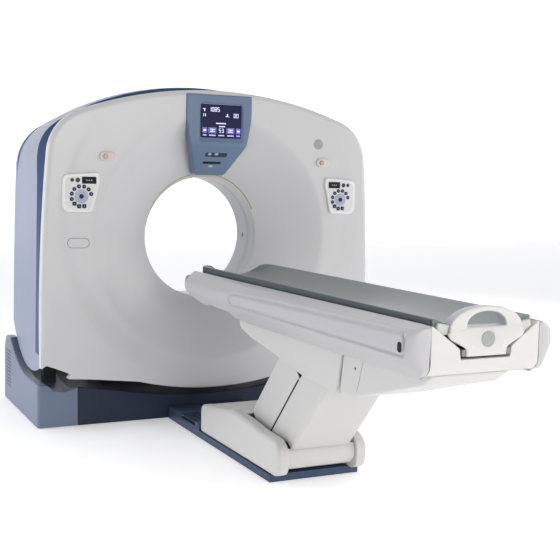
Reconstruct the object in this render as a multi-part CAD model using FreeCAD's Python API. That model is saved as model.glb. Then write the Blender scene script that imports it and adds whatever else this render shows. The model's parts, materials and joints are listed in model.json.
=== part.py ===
import FreeCAD, Part
import math
import os

Vector = FreeCAD.Vector
os.makedirs("parts", exist_ok=True)

# Millimetres. X runs across the machine, +Y into the gantry from the patient's end, +Z up.
# The origin is on the floor, straight below the point where the scan plane meets the bore's axis.

# ---- gantry: overall
iso_height = 1043.0          # bore axis above the floor
bore_radius = 350.0
tunnel_front = -144.0        # the cylindrical part of the bore runs between these two
tunnel_rear = 135.0
tunnel_wall = 5.0
cover_wall = 6.0
cover_gap = 0.6              # between neighbouring cover mouldings
tilt_limit = 30.0            # degrees each way

# ---- gantry: outline seen from the front, made of side, corner and top arcs
half_width = 1004.0
widest_height = 600.0
side_arc_radius = 11000.0
corner_arc_radius = 265.0
top_arc_radius = 2300.0
gantry_height = 1877.0           # top of the front cover

# ---- gantry: places along Y
face_y = -385.0              # flat of the front cover
rim_bevel = 12.0
front_flange_y = -345.0      # back edge of the front cover
shell_front_y = -334.0       # front edge of the side and top covers
shell_inset = 14.0           # how far the shell stands inside the front cover's outline
shell_rear_y = 440.0
rear_face_y = 525.0
shell_seam_x = 800.0         # seam between the side and top covers
crown_radius = 1500.0        # the top cover is more strongly curved, and higher, further back
crown_height = 1931.0
crown_y = 240.0
rear_half_width = 962.0
rear_round = 60.0

# ---- gantry: front dish
dish_radius = 700.0
band_radius = 905.0
band_centre_height = 1128.0
band_depth = 26.0            # how far the dish's rim lies behind the face at the bottom
flare_radius = 560.0         # where the leaning outer part of the dish ends
flare_y = -300.0
rear_dish_radius = 600.0

# ---- gantry: bottom edge of the front cover
lobe_height = 190.0
lobe_half_width = 450.0
lobe_shoulder_height = 250.0
corner_foot_height = 294.0
corner_foot_x = 860.0
notch_inner_x = 838.0
notch_inner_height = 318.0
notch_outer_x = 975.0
notch_outer_height = 374.0
corner_tip_height = 352.0
shell_sweep_radius = 754.0   # lower edge of the side covers, about the tilt axis
shoulder_sweep_radius = 825.0    # the same inboard of the pedestals
shoulder_sweep_x = 798.0
belly_sweep_radius = 915.0       # and over the low middle of the base
belly_sweep_x = 480.0
cradle_sweep_radius = 802.0  # hollow in the base's side covers, about the tilt axis

# ---- gantry: fittings on the front cover
panel_x = 788.0
panel_height = 1298.0
panel_width = 178.0
panel_depth = 184.0
pod_margin = 16.0
pod_rise = 9.0
plate_thickness = 6.0
key_ring_drop = 22.0         # keypad centre below the panel's centre
key_ring_radius = 50.0
key_radius = 9.5
key_rise = 3.0
ring_disc_radius = 32.0
centre_key_radius = 12.5
centre_key_travel = 1.5
centre_key_rise = 5.0
stop_x = 657.0
stop_height = 1491.0
stop_shift = 12.0            # the oval seats reach further to the right than to the left
stop_half_length = 43.0
stop_half_height = 25.0
stop_button_radius = 14.0
stop_button_rise = 9.0
stop_travel = 6.0
badge_x = 637.0
badge_height = 1600.0
badge_radius = 33.0
cap_x = 772.0
cap_height = 1026.0
cap_half_length = 61.0
cap_half_height = 27.0
console_half_width = 199.0
console_bottom_height = 1404.0
console_bottom_half_width = 92.0
console_rise = 8.0
console_bend_height = 1572.0 # below this the console leans back into the dish
console_foot_y = -250.0
console_back_y = -128.0
screen_x = 12.0
screen_half_width = 123.0
screen_half_height = 93.0
screen_height = 1706.0

# ---- gantry base
base_half_width = 990.0
base_front_y = -260.0
base_rear_y = 645.0
base_front_height = 243.0
tower_height = 400.0
tower_front_y = 452.0
base_cover_wall = 6.0
side_cover_inner_x = 768.0   # where the wrap-round side covers meet the front and rear covers
ear_inner_x = 906.0          # inner face of the raised parts beside the gantry
frame_thickness = 60.0
anchor_y = 205.0             # floor anchors lie on a rectangle about the origin
anchor_hole_radius = 11.0
pedestal_x = 842.0
pedestal_width = 72.0
neck_front_y = 86.0          # the pedestals are narrow where the tilted front cover passes them
neck_back_y = 150.0
trunnion_radius = 45.0
trunnion_clearance = 0.05
bush_wall = 18.0

# ---- rotor
rotor_plate_y = 95.0
rotor_plate_thickness = 30.0
rotor_outer_radius = 655.0
rotor_inner_radius = 372.0
bearing_radius = 500.0
bearing_clearance = 0.08
frame_plate_y = 150.0
frame_plate_thickness = 55.0
frame_half_width = 758.0
frame_half_height = 660.0
motor_gap = 0.5              # between the ring motor's coils and magnets
motor_radius = 606.0

# ---- patient table: fixed part
plate_half_width = 234.0
plate_thickness_base = 35.0
plate_end_y = -1615.0
step_rear_y = -262.0
step_front_y = -735.0
step_height = 74.0
foot_inner_x = 178.0
foot_outer_x = 233.0
foot_rear_y = -745.0
foot_rear_height = 186.0
drum_radius = 87.0
pivot_front_y = -1615.0
pivot_front_height = 122.0
pivot_step_y = 270.0         # from the front arm's pivots to the rear arm's
pivot_step_height = 75.0
arm_length = 620.0
arm_angle = math.radians(47.7)   # above the horizontal, leaning away from the gantry
lift_up = 11.0
lift_down = -42.0

# ---- patient table: arms
front_cover_half_width = 156.0
rear_cover_half_width = 148.5
arm_cover_wall = 5.0
front_near = -18.0           # reach of the front arm's cover each side of its pivot line
front_far = 164.0
rear_near = -80.0
rear_far = 120.0
beam_inner_x = 46.0
beam_outer_x = 88.0
hub_radius = 40.0
pin_radius = 12.5
pin_clearance = 0.05
cross_cover_radius = 55.0
cross_cover_half_width = 172.0

# ---- patient table: top
top_near_y = -2860.0
top_far_y = -624.0
rail_inner_x = 236.0
rail_outer_x = 322.0
rail_top = 884.0
rail_bottom = 704.0
channel_floor = 766.0
beam_bottom = 716.0
hopper_inner_x = 168.0
hopper_wall = 7.0
cradle_half_width = 212.0
cradle_top = 921.0
cradle_dip = 50.0
cradle_underside = 846.0
cradle_far_y = -652.0
cradle_near_y = -2832.0
cradle_travel = 1700.0
strip_height = 36.0
strip_thickness = 7.0
roller_radius = 20.0
roller_gap = 0.3
handle_y = -2866.0
handle_thickness = 16.0
handle_top = 966.0

# ---- lift actuator: its eye has room round the pin, where the linkage is opened
actuator_base_y = -1120.0
actuator_base_height = 70.0
actuator_crank = 90.0
actuator_crank_angle = math.radians(75.0)
actuator_pin_radius = 9.0
actuator_eye_clearance = 5.5


def place(plane, u, v, w):
    """Point from two coordinates in a plane and one along its normal."""
    if plane == "XZ":
        return Vector(u, w, v)
    if plane == "YZ":
        return Vector(w, u, v)
    return Vector(u, v, w)


def rounded_wire(plane, points, radii, w):
    """Closed outline through the corner points, each corner turned by an arc of its own radius."""
    count = len(points)
    turns = []
    for i in range(count):
        corner = Vector(points[i][0], points[i][1], 0)
        to_last = Vector(points[i - 1][0], points[i - 1][1], 0).sub(corner)
        to_next = Vector(points[(i + 1) % count][0], points[(i + 1) % count][1], 0).sub(corner)
        to_last.normalize()
        to_next.normalize()
        radius = radii[i]
        half = to_last.getAngle(to_next) / 2.0
        if radius <= 0.0 or half > math.pi / 2.0 - 1e-4:
            turns.append((corner, None, corner))
            continue
        cut = radius / math.tan(half)
        middle = to_last.add(to_next)
        middle.normalize()
        centre = corner.add(middle * (radius / math.sin(half)))
        turns.append((corner.add(to_last * cut), centre.sub(middle * radius), corner.add(to_next * cut)))
    edges = []
    for i in range(count):
        start, mid, end = turns[i]
        if mid is not None:
            edges.append(Part.Arc(*[place(plane, p.x, p.y, w) for p in (start, mid, end)]).toShape())
        follow = turns[(i + 1) % count][0]
        if end.distanceToPoint(follow) > 1e-6:
            edges.append(Part.makeLine(place(plane, end.x, end.y, w), place(plane, follow.x, follow.y, w)))
    return Part.Wire(edges)


def along(plane, length):
    """Vector of that length along the plane's normal."""
    return {"XZ": Vector(0, length, 0), "YZ": Vector(length, 0, 0), "XY": Vector(0, 0, length)}[plane]


def prism(plane, points, radii, low, high):
    """Outline with rounded corners, carried straight from low to high."""
    if not isinstance(radii, (list, tuple)):
        radii = [radii] * len(points)
    return Part.Face(rounded_wire(plane, points, radii, low)).extrude(along(plane, high - low))


def box(x0, y0, z0, x1, y1, z1):
    return Part.makeBox(x1 - x0, y1 - y0, z1 - z0, Vector(x0, y0, z0))


def rod(axis, radius, a, b, low, high):
    """Cylinder along an axis; a and b are its centre on the other two, in X, Y, Z order."""
    spot = {"X": Vector(low, a, b), "Y": Vector(a, low, b), "Z": Vector(a, b, low)}[axis]
    way = {"X": Vector(1, 0, 0), "Y": Vector(0, 1, 0), "Z": Vector(0, 0, 1)}[axis]
    return Part.makeCylinder(radius, high - low, spot, way)


def tube(axis, outer, inner, a, b, low, high):
    return rod(axis, outer, a, b, low, high).cut(rod(axis, inner, a, b, low - 1.0, high + 1.0))


def stadium(x, z, half_length, half_height, low, high):
    """Rounded bar lying along X, carried along Y."""
    points = [
        (x - half_length, z - half_height),
        (x + half_length, z - half_height),
        (x + half_length, z + half_height),
        (x - half_length, z + half_height),
    ]
    return prism("XZ", points, half_height - 0.01, low, high)


def mirrored(shape):
    """Same shape on the other side of the machine."""
    return shape.mirror(Vector(0, 0, 0), Vector(1, 0, 0))


def fuse(shapes):
    whole = shapes[0].multiFuse(shapes[1:]) if len(shapes) > 1 else shapes[0]
    return whole.removeSplitter()


def save(name, shapes):
    """Writes one node: a solid, or a group of separate solids."""
    group = shapes if isinstance(shapes, list) else [shapes]
    solids = [solid for shape in group for solid in shape.Solids]
    whole = solids[0] if len(solids) == 1 else Part.makeCompound(solids)
    whole.exportStep("parts/" + name + ".step")


# ---------------------------------------------------------------- gantry outline and covers

def outline_arcs(inset):
    """Centres and radii of the side, corner and top arcs, moved in by inset."""
    side = Vector(half_width - side_arc_radius, widest_height, 0)
    top = Vector(0, gantry_height - top_arc_radius, 0)
    side_reach = side_arc_radius - corner_arc_radius
    top_reach = top_arc_radius - corner_arc_radius
    gap = top.sub(side)
    reach = (gap.Length ** 2 + side_reach ** 2 - top_reach ** 2) / (2.0 * gap.Length)
    height = math.sqrt(side_reach ** 2 - reach ** 2)
    forward = gap * (1.0 / gap.Length)
    corner = side.add(forward * reach).add(Vector(-forward.y, forward.x, 0) * height)
    return [(side, side_arc_radius - inset), (corner, corner_arc_radius - inset), (top, top_arc_radius - inset)]


def flipped(p):
    return Vector(-p.x, p.y, 0)


def past(centre, other, radius):
    """Point at that radius from the centre, on the far side of another point."""
    way = other.sub(centre)
    way.normalize()
    return centre.add(way * radius)


def arc_edge(centre, radius, start, end, y):
    middle = past(centre, start.add(end) * 0.5, radius)
    return Part.Arc(*[Vector(p.x, y, p.y) for p in (start, middle, end)]).toShape()


def shoulder_face(inset, bottom, y):
    """The gantry seen from the front, down to a level bottom edge."""
    (side, side_r), (corner, corner_r), (top, top_r) = outline_arcs(inset)
    foot = Vector(side.x + math.sqrt(side_r ** 2 - (bottom - side.y) ** 2), bottom, 0)
    side_end = past(side, corner, side_r)
    top_end = past(top, corner, top_r)
    edges = [
        arc_edge(side, side_r, foot, side_end, y),
        arc_edge(corner, corner_r, side_end, top_end, y),
        arc_edge(top, top_r, top_end, flipped(top_end), y),
        arc_edge(flipped(corner), corner_r, flipped(top_end), flipped(side_end), y),
        arc_edge(flipped(side), side_r, flipped(side_end), flipped(foot), y),
        Part.makeLine(Vector(-foot.x, y, foot.y), Vector(foot.x, y, foot.y)),
    ]
    return Part.Face(Part.Wire(edges))


def rounded_block(inset, low, high):
    """The gantry's outline carried along Y, its front edge bevelled."""
    block = shoulder_face(inset, 100.0, low + inset).extrude(Vector(0, high - low - inset, 0))
    picked = []
    for edge in block.Edges:
        bounds = edge.BoundBox
        if bounds.YMax < low + inset + 0.01 and bounds.ZMax > 101.0:
            picked.append(edge)
    return block.makeChamfer(rim_bevel, picked)


def above_lower_edge(inset, low, high):
    """Everything above the front cover's lower edge: a round lobe, and a notch at each corner."""
    side = [
        (1030.0, corner_tip_height - 26.0 + inset),
        (notch_outer_x, notch_outer_height + inset),
        (notch_inner_x - inset, notch_inner_height + inset),
        (corner_foot_x - 2.0 * inset, corner_foot_height + inset),
        (lobe_half_width, lobe_shoulder_height + inset),
    ]
    right = [Vector(x, low, z) for x, z in side]
    left = [Vector(-x, low, z) for x, z in reversed(side)]
    lobe = Part.Arc(right[-1], Vector(0, low, lobe_height + inset), left[0]).toShape()
    top = [Vector(-1030.0, low, 2200.0), Vector(1030.0, low, 2200.0)]
    path = left + top + right
    edges = [Part.makeLine(path[i], path[i + 1]) for i in range(len(path) - 1)]
    return Part.Face(Part.Wire(edges + [lobe])).extrude(Vector(0, high - low, 0))


def turned_tool(stations):
    """Solid of revolution about the bore's axis, from radii and places along Y."""
    path = [Vector(0, stations[0][1], iso_height)]
    path += [Vector(r, y, iso_height) for r, y in stations]
    path.append(Vector(0, stations[-1][1], iso_height))
    face = Part.Face(Part.makePolygon(path + [path[0]]))
    return face.revolve(Vector(0, 0, iso_height), Vector(0, 1, 0), 360)


def front_dish(offset):
    """What is scooped out of the front: a shallow band round a flared cone that ends at the bore.
    The band is shallow at the top and deep at the bottom, so the cone's outer part leans with it."""
    lean = math.degrees(math.atan2(band_depth, 2.0 * dish_radius))
    rim_y = face_y + band_depth / 2.0 + offset
    centre = Vector(0, rim_y, iso_height)
    spread = (band_radius - (band_centre_height - iso_height + dish_radius)) / band_depth
    lead = 40.0
    band = Part.makeCone(band_radius + spread * lead + offset, band_radius - spread * 1.5 * band_depth + offset,
                         lead + 1.5 * band_depth, Vector(0, face_y - lead + offset, band_centre_height),
                         Vector(0, 1, 0))
    front_side = box(-1200.0, rim_y - 300.0, -200.0, 1200.0, rim_y, 2400.0)
    front_side.rotate(centre, Vector(1, 0, 0), lean)
    band = band.common(front_side)
    flare_depth = flare_y + 18.0 - rim_y + offset
    flare = Part.makeCone(dish_radius + offset, flare_radius - 24.0 + offset, flare_depth,
                          centre, Vector(0, 1, 0))
    flare.rotate(centre, Vector(1, 0, 0), lean)
    stations = [(flare_radius + 16.0, flare_y - 10.0), (440.0, -220.0), (380.0, -171.0),
                (bore_radius + 2.0, tunnel_front)]
    stations = [(r + offset, y + offset) for r, y in stations] + [(bore_radius + 2.0 + offset, 400.0)]
    return fuse([band, flare, turned_tool(stations)])


def pod(side, margin, low, high):
    """Control panel outline, wider at the top and drawn away from the bore at the bottom."""
    w = panel_width / 2.0 + margin
    h = panel_depth / 2.0 + margin
    inner = panel_x - w
    outer = panel_x + w
    points = [
        (side * outer, panel_height - h),
        (side * (outer - 3.0), panel_height + h - 14.0),
        (side * (inner + 6.0), panel_height + h),
        (side * inner, panel_height + h - 40.0),
        (side * (inner + 42.0), panel_height - h),
    ]
    return prism("XZ", points, [44.0, 30.0, 20.0, 50.0, 26.0], low, high)


def console_outline(margin, low, high):
    """Outline of the middle console, whose sides draw in towards the bore."""
    top = gantry_height - 24.0 + margin
    side = console_half_width + margin
    waist = side - 27.0
    foot = console_bottom_half_width + margin
    bottom = console_bottom_height - margin
    points = [
        (-foot, bottom),
        (foot, bottom),
        (waist, console_bend_height),
        (side, console_bend_height + 150.0),
        (side, top),
        (-side, top),
        (-side, console_bend_height + 150.0),
        (-waist, console_bend_height),
    ]
    return prism("XZ", points, [30.0, 30.0, 180.0, 320.0, 10.0, 10.0, 320.0, 180.0], low, high)


def console_profile(inset):
    """Side view of the console: level at the screen, then leaning back to its foot."""
    front = face_y - console_rise + inset
    lean = (console_foot_y - front) / (console_bend_height - console_bottom_height)
    points = [
        (front, 2000.0),
        (front, console_bend_height),
        (console_foot_y + inset + lean * 104.0, console_bottom_height - 100.0),
        (console_back_y + 10.0, console_bottom_height - 100.0),
        (console_back_y + 10.0, 2000.0),
    ]
    return prism("YZ", points, [0.0, 40.0, 0.0, 0.0, 0.0], -300.0, 300.0)


def fitting_cuts():
    """Seats in the front cover for the console, panels, stop buttons, cap and disc."""
    cuts = [console_outline(cover_gap, face_y - 60.0, console_back_y + 5.0)]
    for side in (-1, 1):
        cuts.append(pod(side, cover_gap, face_y - pod_rise - 1.0, face_y - pod_rise + plate_thickness))
        cuts.append(rod("Y", stop_button_radius + 4.0, side * stop_x, stop_height, face_y - 5, face_y + 30))
    cap_seat = stadium(-cap_x, cap_height, cap_half_length + cover_gap, cap_half_height + cover_gap,
                       face_y - 2.0, face_y + 30.0)
    cuts.append(cap_seat.common(front_dish(3.0)))
    cuts.append(rod("Y", badge_radius + cover_gap, badge_x, badge_height, face_y - 1.0, face_y + 3.0))
    return cuts


def front_cover():
    edge = above_lower_edge(0.0, face_y - 1.0, tunnel_front + 2.0)
    inner_edge = above_lower_edge(cover_wall, face_y - 1.0, tunnel_front + 2.0)
    outer = rounded_block(0.0, face_y, front_flange_y).common(edge)
    inner = rounded_block(cover_wall, face_y, front_flange_y + 1.0).common(inner_edge)
    deep = rounded_block(0.0, face_y, tunnel_front).common(edge)
    wall = front_dish(cover_wall).common(deep)
    cover = fuse([outer.cut(inner), wall]).cut(front_dish(0.0))
    pods = [pod(side, pod_margin, face_y - pod_rise, face_y + 16.0) for side in (-1, 1)]
    cover = fuse([cover] + pods)
    for cut in fitting_cuts():
        cover = cover.cut(cut)
    return max(cover.Solids, key=lambda solid: solid.Volume)


def shell_section(inset, side_x, foot, shoulder_x, shoulder_z, crown_z, y):
    """Cross-section of the rear shell: sides, a rounded shoulder and the crown."""
    x = side_x - inset
    sx = shoulder_x - inset * 0.7
    sz = shoulder_z - inset * 0.7
    bend = Vector(x - 14.0, y, sz - 240.0)
    corner = Vector((x - 10.0 + sx) / 2.0 + 26.0, y, (sz - 240.0 + sz) / 2.0 + 34.0)
    top = crown_z - inset
    right = [Vector(x, y, foot), bend, corner, Vector(sx, y, sz)]
    left = [Vector(-p.x, p.y, p.z) for p in reversed(right)]
    return Part.Wire([
        Part.makeLine(left[-1], right[0]),
        Part.makeLine(right[0], right[1]),
        Part.Arc(right[1], right[2], right[3]).toShape(),
        Part.Arc(right[3], Vector(0, y, top), left[0]).toShape(),
        Part.Arc(left[0], left[1], left[2]).toShape(),
        Part.makeLine(left[2], left[3]),
    ])


def shell_block(inset):
    """Outside of the side, top and rear covers; a positive inset gives their inside."""
    front = gantry_height - shell_inset
    middle_x = (half_width - shell_inset + rear_half_width) / 2.0
    sections = [
        (half_width - shell_inset - 4.0, 812.0, 1692.0, front, shell_front_y),
        (middle_x, 800.0, 1698.0, crown_height - 16.0, 0.0),
        (rear_half_width + 8.0, 790.0, 1700.0, crown_height, crown_y),
        (rear_half_width, 775.0, 1690.0, crown_height - 2.0, rear_face_y),
    ]
    wires = []
    for side_x, shoulder_x, shoulder_z, crown_z, y in sections:
        at = y
        if y == shell_front_y and inset > 0.0:
            at = y - 2.0
        wires.append(shell_section(inset, side_x, 250.0, shoulder_x, shoulder_z, crown_z, at))
    return Part.makeLoft(wires, True, True)


def rear_profile(inset):
    """Side view behind which nothing stands: upright, then drawn forward towards the top."""
    back = rear_face_y - inset
    upper = 455.0 - inset
    edges = [
        Part.makeLine(Vector(-1100, shell_front_y - 5.0, 200), Vector(-1100, back, 200)),
        Part.makeLine(Vector(-1100, back, 200), Vector(-1100, back, 950)),
        Part.Arc(Vector(-1100, back, 950), Vector(-1100, back - 22.0, 1320), Vector(-1100, upper, 1620)).toShape(),
        Part.Arc(Vector(-1100, upper, 1620), Vector(-1100, upper - 50.0, 1850),
                 Vector(-1100, upper - 130.0, 2100)).toShape(),
        Part.makeLine(Vector(-1100, upper - 130.0, 2100), Vector(-1100, shell_front_y - 5.0, 2100)),
        Part.makeLine(Vector(-1100, shell_front_y - 5.0, 2100), Vector(-1100, shell_front_y - 5.0, 200)),
    ]
    return Part.Face(Part.Wire(edges)).extrude(Vector(2200, 0, 0))


def swing_zone():
    """Room that the covers may fill round the tilt axis: less of it the further out they are."""
    zones = [
        rod("X", shell_sweep_radius, 0, iso_height, -1100.0, 1100.0),
        rod("X", shoulder_sweep_radius, 0, iso_height, -shoulder_sweep_x, shoulder_sweep_x),
        rod("X", belly_sweep_radius, 0, iso_height, -belly_sweep_x, belly_sweep_x),
        box(-1100.0, -600.0, iso_height, 1100.0, 700.0, 2200.0),
    ]
    return fuse(zones)


def rear_dish(offset):
    stations = [(bore_radius + 2.0, 0.0), (bore_radius + 2.0, tunnel_rear), (390.0, 190.0), (470.0, 305.0),
                (rear_dish_radius, rear_face_y), (rear_dish_radius, rear_face_y + 60.0)]
    return turned_tool([(r + offset, y - offset) for r, y in stations])


def shell_covers():
    """Side, top and rear covers, cut from one shell."""
    outer = shell_block(0.0).common(rear_profile(0.0)).common(swing_zone())
    inner = shell_block(cover_wall).common(rear_profile(cover_wall))
    ends = box(-1100.0, shell_front_y - 10.0, 0.0, 1100.0, shell_front_y, 2200.0)
    shell = outer.cut(inner).cut(ends)
    half_gap = cover_gap / 2.0
    rear_zone = box(-1100.0, shell_rear_y + half_gap, 0.0, 1100.0, 700.0, 2200.0)
    front_zone = box(-1100.0, -600.0, 0.0, 1100.0, shell_rear_y - half_gap, 2200.0)
    seam = shell_seam_x
    side_zone = box(seam + half_gap, -600.0, 0.0, 1100.0, 700.0, 2200.0)
    top_zone = box(-seam + half_gap, -600.0, 1200.0, seam - half_gap, 700.0, 2200.0)
    side = shell.common(front_zone).common(side_zone)
    top = shell.common(front_zone).common(top_zone)
    tail = shell.common(rear_zone)
    dish_wall = rear_dish(cover_wall).common(outer).common(box(-1100, tunnel_rear, 0, 1100, 700, 2200))
    rear = fuse([tail, dish_wall]).cut(rear_dish(0.0))
    rear = max(rear.Solids, key=lambda solid: solid.Volume)
    side = max(side.Solids, key=lambda solid: solid.Volume)
    top = max(top.Solids, key=lambda solid: solid.Volume)
    return side, top, rear


# ---------------------------------------------------------------- fittings on the front cover

def control_panel(side):
    plate = pod(side, 0.0, face_y - pod_rise, face_y - pod_rise + plate_thickness)
    ring_z = panel_height - key_ring_drop
    plate = plate.cut(rod("Y", centre_key_radius + 0.5, side * panel_x, ring_z, face_y - 40, face_y + 40))
    return plate


def window_solid(side):
    """Narrow read-out window above the ring of keys."""
    x = side * (panel_x - 42.0)
    face = face_y - pod_rise
    return stadium(x, panel_height + 64.0, 34.0, 15.0, face - 1.2, face)


def key_places(side):
    """Centres of the keys: seven round and three squarer ones, evenly round the ring."""
    places = []
    for i in range(10):
        angle = math.radians(14.0 + 30.3 * i)
        places.append((side * panel_x + key_ring_radius * math.cos(angle),
                       panel_height - key_ring_drop + key_ring_radius * math.sin(angle), i))
    return places


def keypad(side):
    face = face_y - pod_rise
    keys = []
    for x, z, i in key_places(side):
        if i >= 7:
            r = key_radius * 0.9
            keys.append(prism("XZ", [(x - r, z - r), (x + r, z - r), (x + r, z + r), (x - r, z + r)], 4.0,
                              face - key_rise, face))
        else:
            keys.append(rod("Y", key_radius, x, z, face - key_rise, face))
    disc = tube("Y", ring_disc_radius, centre_key_radius + 0.5, side * panel_x, panel_height - key_ring_drop,
                face - 1.5, face)
    return keys + [disc]


def centre_key(side):
    z = panel_height - key_ring_drop
    face = face_y - pod_rise
    cap = rod("Y", centre_key_radius, side * panel_x, z, face - centre_key_rise, face + plate_thickness - 2.0)
    return cap


def panel_lamps(side):
    face = face_y - pod_rise
    return [rod("Y", 5.0, side * (panel_x + 24.0 + 28.0 * i), panel_height + 64.0, face - 1.0, face)
            for i in range(2)]


def stop_bezel(side):
    """Oval seat of a stop button with a sleeve down through the cover."""
    plate = stadium(side * stop_x + stop_shift, stop_height, stop_half_length, stop_half_height, face_y - 7.0,
                    face_y)
    sleeve = rod("Y", stop_button_radius + 3.5, side * stop_x, stop_height, face_y - 1.0, face_y + 24.0)
    plate = plate.makeChamfer(3.0, [e for e in plate.Edges if e.BoundBox.YMax < face_y - 6.9])
    bezel = fuse([plate, sleeve])
    return bezel.cut(rod("Y", stop_button_radius + 0.5, side * stop_x, stop_height, face_y - 20, face_y + 20))


def stop_button(side):
    face = face_y - 7.0
    cap = rod("Y", stop_button_radius, side * stop_x, stop_height, face - stop_button_rise, face + 14.0)
    return cap.makeChamfer(3.0, [e for e in cap.Edges if e.BoundBox.YMax < face - stop_button_rise + 0.1])


def console():
    outer = console_outline(0.0, face_y - 50.0, console_back_y).common(console_profile(0.0))
    inner = console_outline(-cover_wall, face_y - 50.0, console_back_y + 5.0).common(console_profile(cover_wall))
    shell = outer.cut(inner)
    front = face_y - console_rise
    recess = prism("XZ", screen_corners(cover_gap / 2.0), 14.0, front - 1.0, front + 4.0)
    under_rim = box(-300.0, front_flange_y - 2.0, gantry_height - 56.0, 300.0, 0.0, gantry_height)
    return shell.cut(recess).cut(under_rim)


def screen_corners(margin):
    w = screen_half_width + margin
    h = screen_half_height + margin
    return [
        (screen_x - w, screen_height - h),
        (screen_x + w, screen_height - h),
        (screen_x + w, screen_height + h),
        (screen_x - w, screen_height + h),
    ]


def screen():
    front = face_y - console_rise
    return prism("XZ", screen_corners(0.0), 14.0, front - 2.0, front + 4.0)


def face_caps():
    """Flush oval cap on the left and plain round disc on the right."""
    cap = stadium(-cap_x, cap_height, cap_half_length, cap_half_height, face_y - 2.0, face_y + 30.0)
    cap = cap.common(front_dish(3.0)).cut(front_dish(-0.8))
    return [cap, rod("Y", badge_radius, badge_x, badge_height, face_y - 1.5, face_y + 3.0)]


def laser_ports():
    """Small windows for the positioning beams in the bore's wall, each side and overhead."""
    ports = []
    for angle in (-90.0, 0.0, 90.0):
        r = bore_radius - 0.8
        port = prism("XY", [(-14.0, 38.0), (14.0, 38.0), (14.0, 62.0), (-14.0, 62.0)], 11.9, iso_height + r,
                     iso_height + r + 0.8)
        port.rotate(Vector(0, 0, iso_height), Vector(0, 1, 0), angle)
        ports.append(port)
    return ports


def tunnel():
    """Lining of the bore, with the slot that the beam passes through as a shallow groove."""
    ring = tube("Y", bore_radius + tunnel_wall, bore_radius, 0, iso_height, tunnel_front, tunnel_rear)
    ring = ring.cut(tube("Y", bore_radius + 2.4, bore_radius - 1.0, 0, iso_height, -40.0, -28.0))
    for port in laser_ports():
        ring = ring.cut(port)
    return ring


save("front_cover", front_cover())
side_shell, top_shell, rear_shell = shell_covers()
save("side_covers", [side_shell, mirrored(side_shell)])
save("top_cover", top_shell)
save("rear_cover", rear_shell)
save("display_console", console())
save("display_screen", screen())
save("tunnel_ring", tunnel())
save("laser_ports", laser_ports())
save("face_caps", face_caps())
save("control_panels", [control_panel(side) for side in (-1, 1)])
save("keypads", keypad(-1) + keypad(1))
save("readouts", [window_solid(-1), window_solid(1)] + panel_lamps(-1) + panel_lamps(1))
save("stop_bezels", [stop_bezel(side) for side in (-1, 1)])
for side, name in ((-1, "left"), (1, "right")):
    save("centre_key_" + name, centre_key(side))
    save("stop_button_" + name, stop_button(side))


# ---------------------------------------------------------------- tilting frame and rotor

def tilt_frame():
    """Welded plate round the bore, with side arms that carry the trunnions."""
    w = frame_half_width
    h = frame_half_height
    y0 = frame_plate_y
    y1 = y0 + frame_plate_thickness
    corners = [(-w, iso_height - 470.0), (-470.0, iso_height - h), (470.0, iso_height - h),
               (w, iso_height - 470.0), (w, iso_height + h - 60.0), (-w, iso_height + h - 60.0)]
    plate = prism("XZ", corners, 70.0, y0, y1)
    plate = plate.cut(rod("Y", 432.0, 0, iso_height, y0 - 1, y1 + 1))
    parts = [plate]
    for side in (-1, 1):
        x0, x1 = sorted((side * (w - 24.0), side * w))
        arm = prism("YZ", [(-95.0, iso_height - 110.0), (y1, iso_height - 260.0), (y1, iso_height + 260.0),
                           (-95.0, iso_height + 110.0)], [60.0, 0.0, 0.0, 60.0], x0, x1)
        parts.append(arm)
        x0, x1 = sorted((side * w, side * (pedestal_x + pedestal_width / 2.0 + 34.0)))
        parts.append(rod("X", trunnion_radius, 0, iso_height, x0, x1))
        x0, x1 = sorted((side * w, side * (pedestal_x - pedestal_width / 2.0 - 3.0)))
        parts.append(rod("X", trunnion_radius + 26.0, 0, iso_height, x0, x1))
    return fuse(parts + cover_brackets())


def cover_brackets():
    """Bars from the tilting frame out to the side covers and up to the top cover."""
    bars = []
    for side in (-1, 1):
        for z in (iso_height + 70.0, iso_height + 400.0):
            x0, x1 = sorted((side * (frame_half_width - 2.0), side * 1000.0))
            bars.append(box(x0, 160.0, z, x1, 200.0, z + 36.0))
        x0, x1 = sorted((side * 500.0, side * 540.0))
        bars.append(box(x0, 160.0, iso_height + frame_half_height - 62.0, x1, 200.0, 1900.0))
    inside = shell_block(cover_wall)
    return [bar.common(inside) for bar in bars]


def rotor_ring():
    """Rotating plate with the spigot that runs in the main bearing and the skirt for the magnets."""
    y0 = rotor_plate_y
    y1 = y0 + rotor_plate_thickness
    plate = tube("Y", rotor_outer_radius, rotor_inner_radius, 0, iso_height, y0, y1)
    spigot = tube("Y", bearing_radius, 455.0, 0, iso_height, y1 - 1.0, frame_plate_y - 3.0)
    skirt = tube("Y", motor_radius + 24.0, motor_radius, 0, iso_height, y1 - 1.0, frame_plate_y - 4.0)
    drum = tube("Y", rotor_outer_radius, rotor_outer_radius - 12.0, 0, iso_height, y0 - 70.0, y0 + 1.0)
    ring = fuse([plate, spigot, skirt, drum])
    for i in range(12):
        angle = math.radians(30.0 * i + 15.0)
        x = 420.0 * math.cos(angle)
        z = iso_height + 420.0 * math.sin(angle)
        ring = ring.cut(rod("Y", 22.0, x, z, y0 - 1.0, y1 + 1.0))
    return ring


def main_bearing():
    return tube("Y", bearing_radius + 58.0, bearing_radius + bearing_clearance, 0, iso_height,
                rotor_plate_y + rotor_plate_thickness + 7.0, frame_plate_y)


def ring_motor():
    return tube("Y", motor_radius - motor_gap, bearing_radius + 70.0, 0, iso_height,
                rotor_plate_y + rotor_plate_thickness + 8.0, frame_plate_y)


def turned(shape, degrees):
    shape.rotate(Vector(0, 0, iso_height), Vector(0, 1, 0), degrees)
    return shape


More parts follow.
